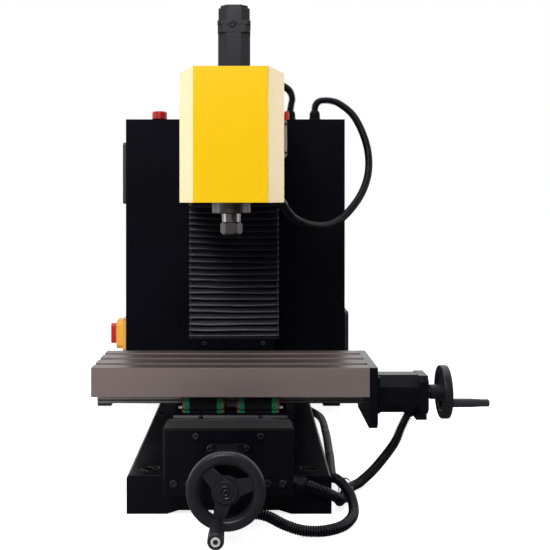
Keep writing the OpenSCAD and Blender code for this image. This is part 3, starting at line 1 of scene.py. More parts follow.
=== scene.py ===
"""Looks of the desktop CNC milling machine: finishes, conduits, bellows, way cover and small hardware."""
import bpy
import json
import math
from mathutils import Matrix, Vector, noise


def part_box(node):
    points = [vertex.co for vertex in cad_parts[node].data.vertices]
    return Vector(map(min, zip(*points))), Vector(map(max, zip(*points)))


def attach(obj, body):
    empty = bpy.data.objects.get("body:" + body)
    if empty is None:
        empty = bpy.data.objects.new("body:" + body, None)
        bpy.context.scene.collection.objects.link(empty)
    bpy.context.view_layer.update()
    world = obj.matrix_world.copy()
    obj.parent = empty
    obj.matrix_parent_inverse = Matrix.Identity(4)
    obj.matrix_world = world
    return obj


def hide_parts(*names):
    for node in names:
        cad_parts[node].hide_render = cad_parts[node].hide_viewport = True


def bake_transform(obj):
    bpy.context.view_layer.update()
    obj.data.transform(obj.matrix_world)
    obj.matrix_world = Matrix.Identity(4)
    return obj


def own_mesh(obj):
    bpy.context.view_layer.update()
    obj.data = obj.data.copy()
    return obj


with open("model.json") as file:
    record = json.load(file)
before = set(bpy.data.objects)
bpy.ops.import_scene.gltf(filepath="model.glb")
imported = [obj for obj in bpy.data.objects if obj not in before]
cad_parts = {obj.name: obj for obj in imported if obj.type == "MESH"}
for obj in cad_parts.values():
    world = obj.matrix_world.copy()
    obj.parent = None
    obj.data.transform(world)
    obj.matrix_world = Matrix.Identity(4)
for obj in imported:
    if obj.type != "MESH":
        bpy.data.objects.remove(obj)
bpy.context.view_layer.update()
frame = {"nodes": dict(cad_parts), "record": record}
MM = 0.001
scene = bpy.context.scene

# Places on the machine, in millimetres in the frame's own axes
TABLE_Y = -94       # middle of the table and of the X screw
X_AXIS_Z = 133      # height of the X screw
Y_AXIS_Z = 79       # height of the Y screw
Z_AXIS_Y = 126      # the Z screw, inside the bellows
SCREW_R = 8
HOLD_X = 112        # hold-down holes, from the middle
HOLD_Y = 207
SEAT_Z = 51         # machined seats round those holes
HUB_Y = -391        # outer face of the Y handwheel's hub
HUB_X = 327         # outer face of the X handwheel's hub
CONDUIT_D = 14


def link(tree, source, target):
    tree.links.new(source, target)


# ------------------------------------------------------------------ camera, floor and light

def place_camera():
    """Level camera in front of the machine, a little right of its middle."""
    data = bpy.data.cameras.new("camera")
    data.sensor_width = 36
    data.lens = 56.9
    data.shift_x = 0.0438
    data.shift_y = -0.1364
    camera = bpy.data.objects.new("camera", data)
    camera.location = (0.0295, -1.414, 0.424)
    camera.rotation_euler = (math.radians(90), 0, 0)
    scene.collection.objects.link(camera)
    scene.camera = camera


def area_light(name, location, target, size, power, color=(1, 1, 1)):
    data = bpy.data.lights.new(name, "AREA")
    data.shape = "RECTANGLE"
    data.size, data.size_y = size
    data.energy = power
    data.color = color
    light = bpy.data.objects.new(name, data)
    light.location = location
    direction = Vector(target) - Vector(location)
    light.rotation_euler = direction.to_track_quat("-Z", "Y").to_euler()
    scene.collection.objects.link(light)


DARK_ROOM = 0.06    # what glossy rays see before the machine
SWEEP = 1.5         # what they see behind it
AMBIENT = 0.17


def backdrop(tree, surface, output):
    """White for camera rays; glossy rays see white behind the machine and a dark room before it."""
    path = tree.nodes.new("ShaderNodeLightPath")
    coords = tree.nodes.new("ShaderNodeTexCoord")
    split = tree.nodes.new("ShaderNodeSeparateXYZ")
    link(tree, coords.outputs["Generated"], split.inputs[0])
    behind = tree.nodes.new("ShaderNodeMapRange")
    behind.inputs["From Min"].default_value = -0.1
    behind.inputs["From Max"].default_value = 0.2
    link(tree, split.outputs["Y"], behind.inputs["Value"])
    glossy = tree.nodes.new("ShaderNodeMath")
    glossy.operation = "MAXIMUM"
    link(tree, path.outputs["Is Glossy Ray"], glossy.inputs[0])
    link(tree, path.outputs["Is Transmission Ray"], glossy.inputs[1])

    def background(strength):
        node = tree.nodes.new("ShaderNodeBackground")
        node.inputs["Color"].default_value = (1, 1, 1, 1)
        node.inputs["Strength"].default_value = strength
        return node.outputs[0]

    def mixed(share, first, second):
        node = tree.nodes.new("ShaderNodeMixShader")
        link(tree, share, node.inputs[0])
        link(tree, first, node.inputs[1])
        link(tree, second, node.inputs[2])
        return node.outputs[0]

    mirrored = mixed(behind.outputs[0], background(DARK_ROOM), background(SWEEP))
    unseen = mixed(glossy.outputs[0], surface, mirrored)
    link(tree, mixed(path.outputs["Is Camera Ray"], unseen, background(1)), output)


def light_the_studio():
    """Soft key from the front left, weak fills at the sides and one from above."""
    scene.view_settings.view_transform = "Standard"
    world = bpy.data.worlds.new("studio")
    world.use_nodes = True
    tree = world.node_tree
    back = tree.nodes["Background"]
    back.inputs["Color"].default_value = (1, 1, 1, 1)
    back.inputs["Strength"].default_value = AMBIENT
    backdrop(tree, back.outputs[0], tree.nodes["World Output"].inputs["Surface"])
    scene.world = world
    area_light("key", (-0.35, -1.7, 1.5), (0, -0.05, 0.35), (0.9, 0.9), 27)
    area_light("left", (-1.5, -0.25, 0.7), (0, 0, 0.4), (0.5, 1.2), 5)
    area_light("right", (1.5, -0.25, 0.7), (0, 0, 0.4), (0.5, 1.2), 3)
    area_light("top", (0, 0.1, 1.9), (0, 0, 0.2), (1.0, 0.6), 10)


def make_floor():
    """White floor for the camera; glossy rays see it dim at the left and dark at the right."""
    bpy.ops.mesh.primitive_plane_add(size=40, location=(0, 0, -0.0002))
    floor = bpy.context.object
    floor.name = "floor"
    mat = bpy.data.materials.new("floor_white")
    mat.use_nodes = True
    bsdf = mat.node_tree.nodes["Principled BSDF"]
    bsdf.inputs["Base Color"].default_value = (0.93, 0.93, 0.93, 1)
    bsdf.inputs["Roughness"].default_value = 0.85
    tree = mat.node_tree
    path = tree.nodes.new("ShaderNodeLightPath")
    glow = tree.nodes.new("ShaderNodeEmission")
    glow.inputs["Strength"].default_value = 0.8
    add = tree.nodes.new("ShaderNodeAddShader")
    mix = tree.nodes.new("ShaderNodeMixShader")
    link(tree, bsdf.outputs[0], add.inputs[0])
    link(tree, glow.outputs[0], add.inputs[1])
    link(tree, path.outputs["Is Camera Ray"], mix.inputs[0])
    coords = tree.nodes.new("ShaderNodeTexCoord")
    split = tree.nodes.new("ShaderNodeSeparateXYZ")
    link(tree, coords.outputs["Object"], split.inputs[0])
    lit = tree.nodes.new("ShaderNodeMapRange")
    for socket, value in (("From Min", -0.3), ("From Max", 0.05), ("To Min", 0.45), ("To Max", DARK_ROOM)):
        lit.inputs[socket].default_value = value
    link(tree, split.outputs["X"], lit.inputs["Value"])
    dark = tree.nodes.new("ShaderNodeEmission")
    link(tree, lit.outputs[0], dark.inputs["Strength"])
    mirrored = tree.nodes.new("ShaderNodeMixShader")
    link(tree, path.outputs["Is Glossy Ray"], mirrored.inputs[0])
    link(tree, bsdf.outputs[0], mirrored.inputs[1])
    link(tree, dark.outputs[0], mirrored.inputs[2])
    link(tree, mirrored.outputs[0], mix.inputs[1])
    link(tree, add.outputs[0], mix.inputs[2])
    link(tree, mix.outputs[0], tree.nodes["Material Output"].inputs["Surface"])
    floor.data.materials.append(mat)


# ------------------------------------------------------------------ materials

def noise_node(tree, scale, detail=4.0, stretch=(1, 1, 1), rough=0.55):
    """Noise in the part's own frame, stretched along the axes."""
    coords = tree.nodes.new("ShaderNodeTexCoord")
    mapping = tree.nodes.new("ShaderNodeMapping")
    mapping.inputs["Scale"].default_value = stretch
    link(tree, coords.outputs["Object"], mapping.inputs["Vector"])
    tex = tree.nodes.new("ShaderNodeTexNoise")
    tex.inputs["Scale"].default_value = scale
    tex.inputs["Detail"].default_value = detail
    tex.inputs["Roughness"].default_value = rough
    link(tree, mapping.outputs[0], tex.inputs["Vector"])
    return tex.outputs["Fac"]


def ramp(tree, factor, stops):
    """Colour ramp through (position, colour) stops."""
    node = tree.nodes.new("ShaderNodeValToRGB")
    node.color_ramp.elements[0].position = stops[0][0]
    node.color_ramp.elements[0].color = (*stops[0][1], 1)
    node.color_ramp.elements[1].position = stops[-1][0]
    node.color_ramp.elements[1].color = (*stops[-1][1], 1)
    for position, colour in stops[1:-1]:
        node.color_ramp.elements.new(position).color = (*colour, 1)
    link(tree, factor, node.inputs[0])
    return node.outputs[0]


def level(tree, factor, low, high):
    """Maps a noise of 0.3 to 0.7 to a range."""
    node = tree.nodes.new("ShaderNodeMapRange")
    node.inputs["From Min"].default_value = 0.3
    node.inputs["From Max"].default_value = 0.7
    node.inputs["To Min"].default_value = low
    node.inputs["To Max"].default_value = high
    link(tree, factor, node.inputs["Value"])
    return node.outputs[0]


def shade(colour, by):
    return tuple(min(1.0, c * by) for c in colour)


def finish_of(name, colour, rough, metal=0.0, grain=900, bump=0.1, spread=0.12, mottle=30,
              stretch=(1, 1, 1), edge=0.0006, coat=0.0, wobble=0.08, specular=0.5):
    """Procedural finish: colour that varies, roughness that varies, fine bump and softened edges."""
    mat = bpy.data.materials.new(name)
    mat.use_nodes = True
    tree = mat.node_tree
    bsdf = tree.nodes["Principled BSDF"]
    bsdf.inputs["Metallic"].default_value = metal
    bsdf.inputs["Coat Weight"].default_value = coat
    bsdf.inputs["Coat Roughness"].default_value = 0.1
    bsdf.inputs["Specular IOR Level"].default_value = specular
    large = noise_node(tree, mottle, 5.0, stretch)
    fine = noise_node(tree, grain, 3.0, stretch)
    stops = [(0.3, shade(colour, 1 - spread)), (0.52, colour), (0.72, shade(colour, 1 + spread))]
    link(tree, ramp(tree, large, stops), bsdf.inputs["Base Color"])
    link(tree, level(tree, large, rough - wobble / 2, rough + wobble / 2), bsdf.inputs["Roughness"])
    bevel = tree.nodes.new("ShaderNodeBevel")
    bevel.samples = 4
    bevel.inputs["Radius"].default_value = edge
    relief = tree.nodes.new("ShaderNodeBump")
    relief.inputs["Strength"].default_value = bump
    relief.inputs["Distance"].default_value = 0.0004
    link(tree, fine, relief.inputs["Height"])
    link(tree, bevel.outputs[0], relief.inputs["Normal"])
    link(tree, relief.outputs[0], bsdf.inputs["Normal"])
    return mat


def ground_iron():
    """Milled front and ground top of the table: warm grey, streaked along X, the top smoother; faces that
    point up get a darker colour, painted shade for the dark surroundings the top reflects.
    """
    mat = finish_of("ground_iron", (0.25, 0.195, 0.187), 0.46, metal=0.35, grain=1400, bump=0.08,
                    spread=0.06, mottle=60, stretch=(0.05, 1, 1), edge=0.0005, specular=0.15)
    tree = mat.node_tree
    bsdf = tree.nodes["Principled BSDF"]
    geometry = tree.nodes.new("ShaderNodeNewGeometry")
    split = tree.nodes.new("ShaderNodeSeparateXYZ")
    link(tree, geometry.outputs["True Normal"], split.inputs[0])

    def toward_top(side, top):
        node = tree.nodes.new("ShaderNodeMapRange")
        for socket, value in (("From Min", 0.5), ("From Max", 0.9), ("To Min", side), ("To Max", top)):
            node.inputs[socket].default_value = value
        link(tree, split.outputs["Z"], node.inputs["Value"])
        return node.outputs[0]

    link(tree, toward_top(0.5, 0.34), bsdf.inputs["Roughness"])
    link(tree, toward_top(0.35, 0.1), bsdf.inputs["Metallic"])
    # painted shade: the colour of faces that point up is scaled down, for the dark surroundings the top
    # reflects
    top_painted_shade = tree.nodes.new("ShaderNodeVectorMath")
    top_painted_shade.operation = "SCALE"
    link(tree, bsdf.inputs["Base Color"].links[0].from_socket, top_painted_shade.inputs[0])
    link(tree, toward_top(1, 0.33), top_painted_shade.inputs["Scale"])
    link(tree, top_painted_shade.outputs[0], bsdf.inputs["Base Color"])
    return mat


def inlay(mat, mask, colour, rough, metal):
    """Changes the finish's colour, roughness and metal where the mask is 1."""
    tree = mat.node_tree
    bsdf = tree.nodes["Principled BSDF"]
    for socket, value in (("Base Color", (*colour, 1)), ("Roughness", rough), ("Metallic", metal)):
        mix = tree.nodes.new("ShaderNodeMix")
        mix.data_type = "RGBA" if socket == "Base Color" else "FLOAT"
        a, b = [i for i in mix.inputs if i.enabled and i.name in "AB"]
        result = next(o for o in mix.outputs if o.enabled)
        link(tree, mask, mix.inputs[0])
        if bsdf.inputs[socket].is_linked:
            link(tree, bsdf.inputs[socket].links[0].from_socket, a)
        else:
            a.default_value = bsdf.inputs[socket].default_value
        b.default_value = value
        link(tree, result, bsdf.inputs[socket])


def threaded(mat, centre, along, radius, pitch=0.005):
    """Helical grooves of a ball screw, drawn as a dark band where the node reaches the screw's radius or
    beyond it: the groove pattern is real, its dark colour is painted shade.
    """
    tree = mat.node_tree
    coords = tree.nodes.new("ShaderNodeTexCoord")
    shift = tree.nodes.new("ShaderNodeVectorMath")
    shift.operation = "SUBTRACT"
    shift.inputs[1].default_value = centre
    link(tree, coords.outputs["Object"], shift.inputs[0])
    split = tree.nodes.new("ShaderNodeSeparateXYZ")
    link(tree, shift.outputs[0], split.inputs[0])
    u, v = [axis for axis in "XYZ" if axis != along]

    def math_node(operation, first, second=None):
        node = tree.nodes.new("ShaderNodeMath")
        node.operation = operation
        for place, value in enumerate((first, second)):
            if isinstance(value, (int, float)):
                node.inputs[place].default_value = value
            elif value is not None:
                link(tree, value, node.inputs[place])
        return node.outputs[0]

    angle = math_node("DIVIDE", math_node("ARCTAN2", split.outputs[u], split.outputs[v]), 2 * math.pi)
    turns = math_node("FRACT", math_node("ADD", math_node("DIVIDE", split.outputs[along], pitch), angle))
    half_groove = 0.27
    groove = math_node("LESS_THAN", math_node("ABSOLUTE", math_node("SUBTRACT", turns, 0.5)), half_groove)
    squares = [math_node("MULTIPLY", split.outputs[axis], split.outputs[axis]) for axis in (u, v)]
    reach = math_node("SQRT", math_node("ADD", *squares))
    outer = math_node("GREATER_THAN", reach, radius - 0.0002)
    # painted shade: the grooves get a dark colour instead of a cut shape
    inlay(mat, math_node("MULTIPLY", groove, outer), (0.05, 0.048, 0.046), 0.4, 1.0)


def make_finishes():
    """Every finish by name; most carry the name of a slot in the record."""
    return {
        "black_paint": finish_of("black_paint", (0.0036, 0.0031, 0.0062), 0.3, grain=380, bump=0.45,
                                 mottle=14, spread=0.3, edge=0.0014, specular=0.15),
        "cabinet_black": finish_of("cabinet_black", (0.0028, 0.0025, 0.0058), 0.6, grain=1500,
                                   bump=0.12, mottle=8, spread=0.3, edge=0.0012, specular=0.06),
        "motor_black": finish_of("motor_black", (0.0045, 0.004, 0.0078), 0.34, grain=1200, bump=0.12,
                                 mottle=25, spread=0.2, edge=0.0014, specular=0.18),
        "motor_grey": finish_of("motor_grey", (0.0075, 0.0068, 0.0135), 0.36, grain=1300, bump=0.1,
                                mottle=25, spread=0.15, edge=0.0012, specular=0.22),
        "steel": finish_of("steel", (0.3, 0.29, 0.28), 0.24, metal=1.0, grain=1600, bump=0.06,
                           mottle=60, spread=0.2, edge=0.0004),
        "block_black": finish_of("block_black", (0.005, 0.005, 0.007), 0.4, grain=900, bump=0.1,
                                 edge=0.0005, specular=0.3),
        "screw_black": finish_of("screw_black", (0.06, 0.058, 0.062), 0.3, metal=0.85, grain=1500,
                                 bump=0.1, edge=0.0004),
        "cap_green": finish_of("cap_green", (0.008, 0.19, 0.09), 0.4, grain=1200, bump=0.08,
                               spread=0.15, edge=0.0005),
        "seal_red": finish_of("seal_red", (0.25, 0.03, 0.022), 0.55, grain=1000, bump=0.12,
                              spread=0.2, edge=0.0004),
        "table_iron": ground_iron(),
        "cover_yellow": finish_of("cover_yellow", (1.0, 0.61, 0.0005), 0.27, grain=900, bump=0.005,
                                  mottle=5, spread=0.01, edge=0.0022, wobble=0.04, specular=0.25, coat=1.0),
        "bellows_black": finish_of("bellows_black", (0.0068, 0.0058, 0.0102), 0.4, grain=2200,
                                   bump=0.3, mottle=40, spread=0.25, edge=0.0003, specular=0.5),
        "conduit_black": finish_of("conduit_black", (0.0055, 0.005, 0.008), 0.3, grain=1400,
                                   bump=0.08, mottle=40, spread=0.2, edge=0.0004, specular=0.3),
        "wheel_grey": finish_of("wheel_grey", (0.0135, 0.0128, 0.0185), 0.36, grain=1500, bump=0.06,
                                mottle=30, spread=0.12, edge=0.0006, specular=0.3),
        "grip_black": finish_of("grip_black", (0.012, 0.0115, 0.015), 0.34, grain=1500, bump=0.06,
                                mottle=30, spread=0.12, edge=0.0005),
        "grip_metal": finish_of("grip_metal", (0.04, 0.038, 0.045), 0.35, metal=0.3, grain=1500,
                                bump=0.05, mottle=30, edge=0.0005),
        "vent_grey": finish_of("vent_grey", (0.03, 0.03, 0.035), 0.5, grain=1500, bump=0.1,
                               edge=0.0006),
        "switch_yellow": finish_of("switch_yellow", (1.0, 0.5, 0.06), 0.4, grain=1500, bump=0.05,
                                   spread=0.04, edge=0.001),
        "signal_red": finish_of("signal_red", (0.55, 0.012, 0.01), 0.32, grain=1500, bump=0.04,
                                spread=0.08, edge=0.001),
        "way_cloth": finish_of("way_cloth", (0.0038, 0.0033, 0.0055), 0.45, grain=2200, bump=0.3,
                               mottle=40, spread=0.25, edge=0.0003, specular=0.28),
        # darker copy of the steel for the spindle cartridge and collet nut: painted shade for the dark
        # surroundings they reflect
        "spindle_steel_painted_shade": finish_of("spindle_steel_painted_shade", (0.12, 0.112, 0.115), 0.38, metal=1.0, grain=1600,
                                   bump=0.06, mottle=60, spread=0.2, edge=0.0005),
        "plate_steel": finish_of("plate_steel", (0.4, 0.36, 0.33), 0.45, metal=0.3, grain=1500,
                                 bump=0.05, spread=0.1, edge=0.0005),
        "gland_black": finish_of("gland_black", (0.003, 0.0027, 0.0045), 0.5, edge=0.0006, specular=0.1),
        # near-black finish for the conduits' grooves: painted shade in the grooves
        "groove_painted_shade": finish_of("groove_painted_shade", (0.001, 0.001, 0.0015), 0.7, specular=0.05),
        "bright_steel": finish_of("bright_steel", (0.7, 0.69, 0.67), 0.3, metal=0.35, grain=1600,
                                  bump=0.05, spread=0.1, edge=0.0003),
        "supply_metal": finish_of("supply_metal", (0.5, 0.5, 0.5), 0.4, metal=0.9, grain=1500,
                                  bump=0.05, edge=0.0006),
        "board_green": finish_of("board_green", (0.01, 0.12, 0.04), 0.4, grain=1500, bump=0.1,
                                 edge=0.0004),
    }


def dress_nodes(finishes, special):
    """Every CAD node gets the finish that the record names for it, or its own variant of it."""
    wanted = {s["node"]: s["material_slot"] for s in frame["record"]["subparts"]}
    # spindle cartridge and collet nut get the darker steel: painted shade
    wanted.update({"spindle_cartridge": "spindle_steel_painted_shade", "collet_nut": "spindle_steel_painted_shade"})
    for name, obj in frame["nodes"].items():
        mat = special.get(name) or finishes[wanted[name]]
        if not obj.material_slots:
            obj.data.materials.append(mat)
        for place in obj.material_slots:
            place.material = mat


def make_variants(finishes):
    """Finishes of single nodes: the side plate, the cable glands, and threads on the ball screws."""
    variants = {"side_plate": finishes["plate_steel"], "cable_glands": finishes["gland_black"]}
    screws = (("x_screw", (0, TABLE_Y, X_AXIS_Z), "X"), ("y_screw", (0, 0, Y_AXIS_Z), "Y"),
              ("z_screw", (0, Z_AXIS_Y, 0), "Z"))
    for node, centre, along in screws:
        variants[node] = finishes["steel"].copy()
        threaded(variants[node], Vector(centre) * MM, along, SCREW_R * MM)
    return variants


# ------------------------------------------------------------------ mesh helpers

def new_piece(name, points, faces, body, slot, smooth=True, finish=None):
    """Mesh object in metres from points in millimetres; rides on a body when one is named."""
    mesh = bpy.data.meshes.new(name)
    mesh.from_pydata([Vector(p) * MM for p in points], [], faces)
    mesh.validate()
    for face in mesh.polygons:
        face.use_smooth = smooth
    obj = bpy.data.objects.new(name, mesh)
    scene.collection.objects.link(obj)
    mesh.materials.append(finishes[finish or slot])
    if body:
        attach(obj, body)
    return obj


def joined(name, parts, body, slot, smooth=True, finish=None):
    """One piece from several (points, faces) pairs."""
    points, faces = [], []
    for part_points, part_faces in parts:
        base = len(points)
        points += part_points
        faces += [[base + i for i in face] for face in part_faces]
    return new_piece(name, points, faces, body, slot, smooth, finish)


def frame_along(direction):
    """Matrix whose Z runs along a direction."""
    return Vector(direction).to_track_quat("Z", "Y").to_matrix()


def ring_faces(rings, sides):
    """Faces between rings of points that follow one another, with both ends capped."""
    faces = []
    for i in range(rings - 1):
        for k in range(sides):
            m = (k + 1) % sides
            faces.append([i * sides + k, i * sides + m, (i + 1) * sides + m, (i + 1) * sides + k])
    faces.append(list(range(sides))[::-1])
    faces.append([(rings - 1) * sides + k for k in range(sides)])
    return faces


def grid_faces(rows, wide):
    """Faces of a sheet of points, row by row."""
    return [[r * wide + i, r * wide + i + 1, (r + 1) * wide + i + 1, (r + 1) * wide + i]
            for r in range(rows - 1) for i in range(wide - 1)]


def lathe(profile, at=(0, 0, 0), along=(0, 0, 1), sides=32):
    """Solid of revolution; the profile is (radius, height) pairs, its ends are capped."""
    turn = frame_along(along)
    points = []
    for radius, height in profile:
        for k in range(sides):
            a = 2 * math.pi * k / sides
            points.append(Vector(at) + turn @ Vector((radius * math.cos(a), radius * math.sin(a), height)))
    return points, ring_faces(len(profile), sides)


def smooth_path(route, step):
    """Points a step apart on a Catmull-Rom curve through the route."""
    route = [Vector(p) for p in route]
    ends = [2 * route[0] - route[1]] + route + [2 * route[-1] - route[-2]]
    per_span = 24
    dense = []
    for i in range(1, len(ends) - 2):
        a, b, c, d = ends[i - 1:i + 3]
        for k in range(per_span):
            t = k / per_span
            dense.append(0.5 * (2 * b + (c - a) * t + (2 * a - 5 * b + 4 * c - d) * t * t
                                + (3 * b - a - 3 * c + d) * t ** 3))
    dense.append(route[-1])
    length = sum((q - p).length for p, q in zip(dense, dense[1:]))
    count = max(2, round(length / step))
    spacing = length / count
    points, walked, goal = [dense[0]], 0.0, spacing
    for p, q in zip(dense, dense[1:]):
        piece = (q - p).length
        while goal <= walked + piece + 1e-9 and len(points) < count:
            points.append(p.lerp(q, (goal - walked) / piece))
            goal += spacing
        walked += piece
    points.append(dense[-1])
    return points, length


def tube_rings(points, radii, sides=16):
    """Swept tube without twist through the points, with a radius for each."""
    tangents = [(points[min(i + 1, len(points) - 1)] - points[max(i - 1, 0)]).normalized()
                for i in range(len(points))]
    side = tangents[0].orthogonal().normalized()
    out = []
    for point, radius, tangent in zip(points, radii, tangents):
        side = (side - tangent * side.dot(tangent)).normalized()
        up = tangent.cross(side)
        for k in range(sides):
            a = 2 * math.pi * k / sides
            out.append(point + radius * (math.cos(a) * side + math.sin(a) * up))
    return out, ring_faces(len(points), sides)


# ------------------------------------------------------------------ conduits

ROUTE_SPINDLE = [
    (154, 282, 597), (155, 282, 607), (160, 282, 615), (170, 281, 618), (186, 279, 617), (203, 276, 610),
    (227, 268, 588), (244, 254, 552), (252, 236, 513), (249, 214, 474), (235, 190, 439), (212, 163, 409),
    (187, 138, 388), (159, 112, 379), (131, 84, 381), (106, 54, 391), (92, 30, 403), (82, 12, 415)]
ROUTE_Z = [
    (106, 282, 597), (108, 282, 610), (110, 281, 622), (105, 278, 636), (92, 272, 645), (75, 262, 650),
    (58, 246, 655), (44, 228, 660), (32, 208, 664), (22, 190, 666), (16, 170, 666)]
ROUTE_Y = [
    (30, -330, 34), (50, -328, 29), (72, -325, 17), (96, -323, 9), (124, -318, 7), (146, -303, 7),
    (160, -278, 7), (167, -252, 9), (167, -226, 17), (162, -209, 24), (157, -193, 26.5), (153, -172, 25),
    (152, -148, 19), (151, -122, 11), (152, -92, 7), (154, -56, 7), (157, -14, 7), (159, 30, 7),
    (161, 74, 7), (163, 118, 7), (164, 162, 7), (165, 206, 7), (164, 242, 7), (161, 264, 7),
    (153, 282, 9), (140, 294, 14), (129, 300, 24), (125, 302, 36), (125, 302, 42)]
ROUTE_X = [
    (268, -94, 99), (258, -97, 81), (247, -104, 60), (230, -114, 41), (209, -128, 23), (188, -144, 11),
    (173, -159, 9), (165, -176, 9), (158, -200, 9), (151, -224, 12), (147, -244, 22), (136, -257, 32),
    (121, -262, 40), (103, -263, 47)]
X_JOINT = 5         # point where the X conduit's two stretches meet

RIB_PITCH = 3.2
# One rib: (share of the pitch, depth below the crest); the last three rings make the groove
RIB = ((0, 0.25), (0.08, 0), (0.46, 0), (0.54, 0.25), (0.62, 1.9), (0.92, 1.9))
GROOVE = (3, 4, 5)


def corrugated(name, route, body, node, with_pieces=()):
    """Corrugated conduit: square ribs on a smooth route, with painted shade in the grooves."""
    points, length = smooth_path(route, 0.4)
    count = round(length / RIB_PITCH)
    last = len(points) - 1
    spine, radii = [], []
    for k in range(count):
        for place, cut in RIB:
            at = (k + place) / count * last
            i = min(int(at), last - 1)
            spine.append(points[i].lerp(points[i + 1], at - i))
            spine[-1].z = max(spine[-1].z, CONDUIT_D / 2 + 0.1)
            radii.append(CONDUIT_D / 2 - cut)
    spine.append(points[-1])
    radii.append(CONDUIT_D / 2 - RIB[0][1])
    sides = 16
    rings, faces = tube_rings(spine, radii, sides)
    obj = new_piece(name, rings, faces, body, "conduit_black")
    # groove faces get the near-black finish: painted shade in the grooves
    obj.data.materials.append(finishes["groove_painted_shade"])
    for face in obj.data.polygons:
        if (face.index // sides) % len(RIB) in GROOVE and face.index < sides * len(RIB) * count:
            face.material_index = 1
    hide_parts(node)
    every = 12
    way = [p * MM for p in points[::every]] + [points[-1] * MM]
    return obj, way


def box_points(low, high, chamfer):
    """Box whose upright edges are chamfered."""
    (x0, y0, z0), (x1, y1, z1) = low, high
    c = chamfer
    ring = [(x0 + c, y0), (x1 - c, y0), (x1, y0 + c), (x1, y1 - c), (x1 - c, y1), (x0 + c, y1),
            (x0, y1 - c), (x0, y0 + c)]
    points = [(x, y, z) for z in (z0, z1) for x, y in ring]
    faces = [list(range(8))[::-1], list(range(8, 16))]
    faces += [[i, (i + 1) % 8, 8 + (i + 1) % 8, 8 + i] for i in range(8)]
    return points, faces


def moving_tie():
    """Cable tie that goes with the conduits."""
    low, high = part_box("cable_tie")
    middle = (low + high) / 2 / MM
    rise = (high.z - low.z) / MM
    loop = []
    thick, half_band = 0.9, 2.2
    half_w, half_h = CONDUIT_D / 2 + thick, rise / 2 - 1
    steps = 48
    for k in range(steps):
        a = 2 * math.pi * k / steps
        lift = (half_h - half_w) * (1 if math.sin(a) > 0 else -1) if abs(math.sin(a)) > 1e-6 else 0
        loop.append(Vector((half_w * math.cos(a), 0, half_w * math.sin(a) + lift)))
    points, faces = [], []
    for out, y in ((0, -half_band), (thick, -half_band), (thick, half_band), (0, half_band)):
        for p in loop:
            grow = 1 + out / p.length
            points.append(middle + Vector((p.x * grow, y, p.z * grow)))
    n = len(loop)
    for i in range(4):
        for k in range(n):
            m = (k + 1) % n
            j = (i + 1) % 4
            faces.append([i * n + k, i * n + m, j * n + m, j * n + k])
    head = box_points((middle.x + half_w, middle.y - 3, middle.z - 3.5),
                      (middle.x + half_w + 4, middle.y + 3, middle.z + 3.5), 0.8)
    tie = joined("conduit_tie", [(points, faces), head], None, "conduit_black")
    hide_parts("cable_tie")
    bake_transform(tie)
    return tie


def make_conduits():
    spindle, way = corrugated("conduit_to_spindle", ROUTE_SPINDLE, None, "conduit_spindle")
    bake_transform(spindle)
    corrugated("conduit_to_z_motor", ROUTE_Z, "frame", "conduit_z")
    corrugated("conduit_to_y_motor", ROUTE_Y, "frame", "conduit_y")
    upper, way = corrugated("conduit_x_first", ROUTE_X[:X_JOINT + 1], None, "conduit_x_upper")
    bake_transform(upper)
    lower, way = corrugated("conduit_x_second", ROUTE_X[X_JOINT:], None, "conduit_x_lower", [moving_tie()])
    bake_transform(lower)


# ------------------------------------------------------------------ bellows and way cover

def baked(obj):
    """Applies the object's modifiers to its mesh."""
    graph = bpy.context.evaluated_depsgraph_get()
    mesh = bpy.data.meshes.new_from_object(obj.evaluated_get(graph))
    obj.modifiers.clear()
    obj.data = mesh
    for face in mesh.polygons:
        face.use_smooth = True
    return obj


def thickened(obj, thickness, offset=-1):
    solid = obj.modifiers.new("thickness", "SOLIDIFY")
    solid.thickness = thickness * MM
    solid.offset = offset
    return baked(obj)


def wander(*where):
    """Smooth noise of about -1 to 1."""
    return noise.noise(Vector(where)) * 1.6


def u_path(half, front, back, corner, step):
    """Points with outward normals round the bellows' three sides, left to right."""
    out = []
    count = round((back - front - corner) / step)
    for i in range(count):
        out.append((-half, back - (back - front - corner) * i / count, -1, 0))
    for side in (-1, 1):
        turns = range(5) if side < 0 else range(4, -1, -1)
        for k in turns:
            a = math.radians(90 * k / 4)
            out.append((side * (half - corner + corner * math.cos(a)),
                        front + corner - corner * math.sin(a), side * math.cos(a), -math.sin(a)))
        if side < 0:
            wide = round(2 * (half - corner) / step)
            out += [(-half + corner + 2 * (half - corner) * i / wide, front, 0, -1)
                    for i in range(1, wide)]
    for i in range(1, count + 1):
        out.append((half, front + corner + (back - front - corner) * i / count, 1, 0))
    return out


